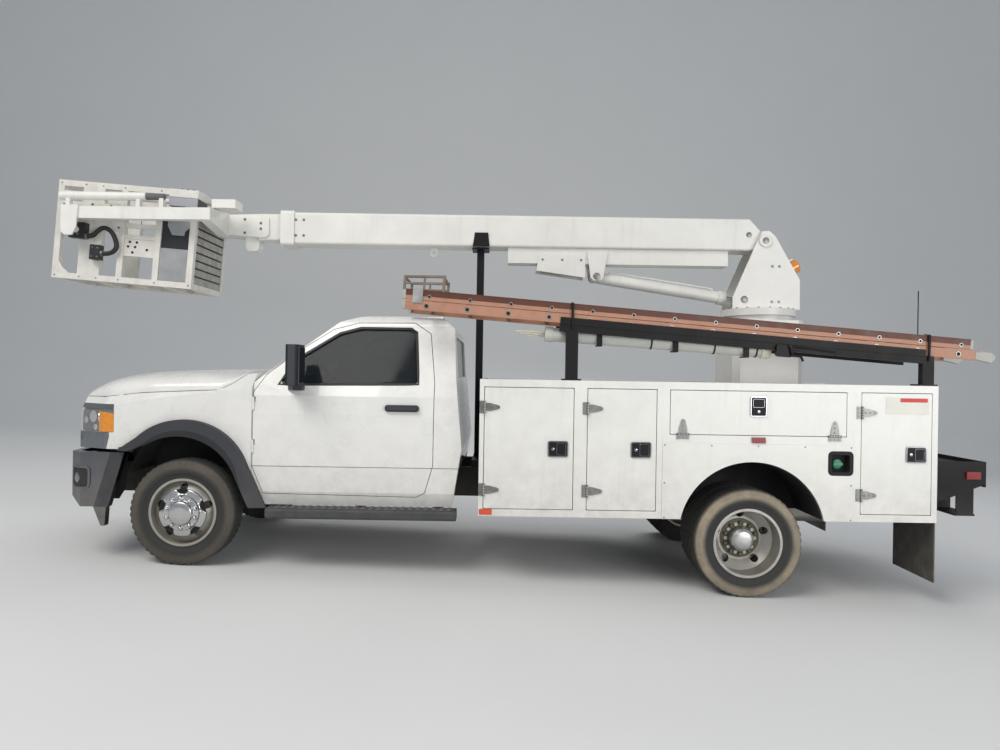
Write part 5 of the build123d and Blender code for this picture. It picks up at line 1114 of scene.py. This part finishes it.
rails, flanges, rungs, hole_shade_discs, hole_rims, caps = (bmesh.new() for index in range(6))
for length, height in ((LADDER_LENGTH, 0), (LADDER_LENGTH - 80, 75.5)):
    for y, inward in ((LADDER_NEAR, 1), (LADDER_FAR, -1)):
        channel(rails, 20, length - 20, y, height, inward)
        across = tuple(sorted((y - 1.5 * inward, y + 30 * inward)))
        box(caps, (0, 24), across, (height, height + SECTION))
        box(caps, (length - 24, length), across, (height, height + SECTION))
# Top flange and upper edge strip of the upper section, in the darker brown as painted shade
for y, inward in ((LADDER_NEAR, 1), (LADDER_FAR, -1)):
    lip = tuple(sorted((y - 5 * inward, y + 29 * inward)))
    box(flanges, (24, LADDER_LENGTH - 104), lip, (144.5, 151))
    box(flanges, (24, LADDER_LENGTH - 104), tuple(sorted((y - 3 * inward, y))), (106, 145))
for index in range(14):
    along = (index + 0.6) * 305
    for x, z, radius in ((along, 34, 15), (along + 16, 104, 11)):
        rod(rungs, [(x, LADDER_NEAR + 5, z), (x, LADDER_FAR - 5, z)], 15.5, 16)
        for y, direction in ((LADDER_NEAR, -1), (LADDER_FAR, 1)):
            lathe(hole_shade_discs, [(0, radius), (3.4, radius), (3.4, 2)], (x, y, z), (0, direction, 0), 16)
            lathe(hole_rims, [(0, radius), (0, radius + 4), (4.4, radius + 3), (4.4, radius)], (x, y, z),
                  (0, direction, 0), 16, True)
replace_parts(add_piece("ladder_rails", rails, "chassis", ladder_brown, LADDER_POSE), "ladder")
add_piece("ladder_flanges", flanges, "chassis", flange_shade_brown, LADDER_POSE)
add_piece("ladder_rungs", rungs, "chassis", aluminium, LADDER_POSE)
# Near-black discs at the rung ends: painted shade in the rail holes
add_piece("ladder_holes", hole_shade_discs, "chassis", painted_shade_black, LADDER_POSE)
add_piece("ladder_hole_rims", hole_rims, "chassis", aluminium, LADDER_POSE)
for y in (LADDER_NEAR - 4, LADDER_FAR - 34):
    outline = [(LADDER_LENGTH - 60, 6), (LADDER_LENGTH + 60, -12), (LADDER_LENGTH + 95, 30),
               (LADDER_LENGTH + 60, 66), (LADDER_LENGTH - 60, 60)]
    side_prism(caps, outline, y, y + 38)
add_piece("ladder_caps", caps, "chassis", cap_plastic, LADDER_POSE, bevel=2)

# Upper edge of the rack's near rail, beside the ladder's lower section
rack_lip = bmesh.new()
side_prism(rack_lip, oblong((1185, 3905), (-10, 44)), LADDER_NEAR - 10, LADDER_NEAR - 7)
add_piece("rack_lip", rack_lip, "chassis", black_paint, LADDER_POSE, bevel=1)

# Brown guide bars over the ladder's front end, and the plates beside them
guide = bmesh.new()
for y in (LADDER_NEAR + 2, LADDER_FAR - 2):
    rod(guide, [(8, y, 148), (8, y, 240), (300, y, 262), (300, y, 148)], 11, 12)
    rod(guide, [(8, y, 192), (300, y, 206)], 8, 10)
    rod(guide, [(154, y, 150), (154, y, 250)], 8, 10)
for x, z in ((8, 232), (300, 254)):
    rod(guide, [(x, LADDER_NEAR + 2, z), (x, LADDER_FAR - 2, z)], 10, 10)
add_piece("ladder_guide", guide, "chassis", guide_brown, LADDER_POSE)
plates = bmesh.new()
for y in (LADDER_NEAR - 8, LADDER_FAR + 5):
    side_prism(plates, rounded((75, 150), (52, 156), 6), y, y + 3)
add_piece("ladder_plates", plates, "chassis", aluminium, LADDER_POSE)

# Rack: crank handle, link rod, hold-down hooks and straps round the tube
rack = bmesh.new()
rod(rack, [(4545, -1215, 1868), (4545, -1240, 1868)], 12)
rod(rack, [(4545, -1236, 1868), (4560, -1236, 1800), (4625, -1236, 1795), (4640, -1236, 1760)], 9)
rod(rack, [(4500, -1212, 1880), (4885, -1212, 1832)], 7)
for x in (2940, 5585):
    top = 2107 - (x - 1668) * math.tan(LADDER_SLOPE) + 150
    rod(rack, [(x, -1210, top - 190), (x, -1210, top), (x, -1150, top + 8)], 8)
rod(rack, [(5519, -1170, 1790), (5519, -1170, 2300)], 4, 8)
add_piece("rack_fittings", rack, "chassis", black_paint)
straps = bmesh.new()
TUBE_START, TUBE_END = Vector((2772, -1087.7, 1938)), Vector((4440, -1087.7, 1836))
TUBE_RUN = (TUBE_END - TUBE_START).normalized()
for along in (768, 1243, 1560):
    tie = TUBE_START + TUBE_RUN * along
    lathe(straps, [(0, 52.5), (0, 56), (11, 56), (11, 52.5)], tie, TUBE_RUN, 32, True)
    hanger = [(5, -56, 10), (5, -106, 60), (5, -106, 102)]
    rod(straps, [tie + Vector(offset) for offset in hanger], 4, 8)
add_piece("tube_straps", straps, "chassis", black_paint)
sticks = bmesh.new()
for start, y, z in ((2524, -1104, 1962), (2552, -1088, 1948), (2610, -1070, 1930)):
    rod(sticks, [(start, y, z), (2768, y, z - 11)], 7, 10)
add_piece("tube_sticks", sticks, "chassis", cream_plastic)
tube_cap = bmesh.new()
tube_length = (TUBE_END - TUBE_START).length
cap_place = TUBE_START + TUBE_RUN * (tube_length - 66)
lathe(tube_cap, [(0, 52.3), (1, 58), (60, 58), (68, 52), (69, 8)], cap_place, TUBE_RUN, 40)
add_piece("tube_cap", tube_cap, "chassis", cream_plastic)


# Seats: crowned cushions with sewn channels
def cushion(bm, x, y, z, lean, crown, channels, steps=14):
    """A soft box that swells along its own Z and leans about Y."""
    sizes = [high - low for low, high in (x, y, z)]
    centre = Vector([(low + high) / 2 for low, high in (x, y, z)])
    pad = bmesh.new()
    bmesh.ops.create_cube(pad, size=2)
    bmesh.ops.subdivide_edges(pad, edges=pad.edges, cuts=steps, use_grid_fill=True)
    turn = Matrix.Rotation(math.radians(lean), 4, "Y")
    for vert in pad.verts:
        u, v, w = vert.co
        edge = max(abs(u), abs(v))
        corner = 1 - 0.07 * (abs(u) ** 6 * abs(v) ** 6 + abs(u * w) ** 6 + abs(v * w) ** 6)
        swell = 1 + crown * (1 - u * u) * (1 - v * v) - 0.25 * edge ** 10
        seam = 0.07 * sum(math.exp(-((v - place) / 0.035) ** 2) for place in channels)
        local = Vector((u * corner * sizes[0] / 2, v * corner * sizes[1] / 2,
                        w * (swell - (seam if w > 0 else 0)) * sizes[2] / 2))
        vert.co = centre + turn @ local
    mesh = bpy.data.meshes.new("pad_form")
    pad.to_mesh(mesh)
    pad.free()
    bm.from_mesh(mesh)
    bpy.data.meshes.remove(mesh)


seat_parts = []
for hand, centre in (("left", -485), ("right", 485)):
    half = 238
    base = bmesh.new()
    cushion(base, (1200, 1640), (centre - half, centre + half), (1135, 1235), -2, 0.12, (-0.45, 0.45))
    back_rest = bmesh.new()
    cushion(back_rest, (1440, 2040), (centre - half, centre + half), (1460, 1560), -79, 0.12, (-0.45, 0.45))
    for name, bm in (("seat_base", base), ("seat_back", back_rest)):
        pad = add_piece(f"{name}_{hand}", bm, "chassis", seat_cloth, smooth=60)
        seat_parts.append(pad)
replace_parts(seat_parts[0], "seats")
stands = bmesh.new()
for centre in (-490, 490):
    box(stands, (1250, 1740), (centre - 130, centre + 130), (901, 1145))
add_piece("seat_stands", stands, "chassis", interior_grey, bevel=4)

# Floor, backdrop, light and camera
floor_mesh = bmesh.new()
quarter = [math.radians(angle) for angle in range(10, 91, 10)]
backdrop = [(-14, 0.0), (9, 0.0)] + [(9 + 5 * math.sin(turn), 5 - 5 * math.cos(turn)) for turn in quarter]
backdrop.append((14, 16))
rows = [[floor_mesh.verts.new((x, y, z)) for y, z in backdrop] for x in (-40, 40)]
join_rows(floor_mesh, rows)
mesh = bpy.data.meshes.new("studio_floor")
floor_mesh.to_mesh(mesh)
floor_mesh.free()
for polygon in mesh.polygons:
    polygon.use_smooth = True
studio = bpy.data.objects.new("studio_floor", mesh)
scene.collection.objects.link(studio)
mesh.materials.append(surface("studio_pale", (0.72, 0.72, 0.71), 0.8, vary=0.02, grain=0.5))

world = bpy.data.worlds.new("studio_world")
scene.world = world
world.use_nodes = True
background = world.node_tree.nodes["Background"]
background.inputs["Color"].default_value = (0.86, 0.92, 1.0, 1)
background.inputs["Strength"].default_value = 0.42


def area_lamp(name, place, target, size, power, colour=(1, 1, 1)):
    lamp = bpy.data.lights.new(name, "AREA")
    lamp.energy = power
    lamp.shape = "RECTANGLE"
    lamp.size = size[0]
    lamp.size_y = size[1]
    lamp.color = colour
    obj = bpy.data.objects.new(name, lamp)
    scene.collection.objects.link(obj)
    obj.location = place
    obj.rotation_euler = (Vector(target) - Vector(place)).to_track_quat("-Z", "Y").to_euler()


area_lamp("key_lamp", (-5, -7, 9), (0, 0, 1.2), (7, 5), 690, (1.0, 0.97, 0.92))
area_lamp("fill_lamp", (6, -9, 2.4), (1.2, 0, 1.6), (6, 3), 370)
area_lamp("back_lamp", (2, 8, 8), (0, 0, 1.5), (8, 4), 300)

CAMERA_PLACE = Vector((2408, -6765, 1624))
CAMERA_ROLL = math.radians(0.9) + RAKE
camera_data = bpy.data.cameras.new("camera")
camera_data.lens = 27
camera_data.sensor_width = 36
camera_data.clip_end = 200
camera = bpy.data.objects.new("camera", camera_data)
scene.collection.objects.link(camera)
right = Vector((math.cos(CAMERA_ROLL), 0, math.sin(CAMERA_ROLL)))
above = Vector((-math.sin(CAMERA_ROLL), 0, math.cos(CAMERA_ROLL)))
backward = Vector((0, -1, 0))
turned = Matrix((right, above, backward)).transposed().to_4x4()
camera.matrix_world = Matrix.Translation(LEVEL_TO_ROW @ CAMERA_PLACE) @ turned
scene.camera = camera
scene.view_settings.view_transform = "Standard"
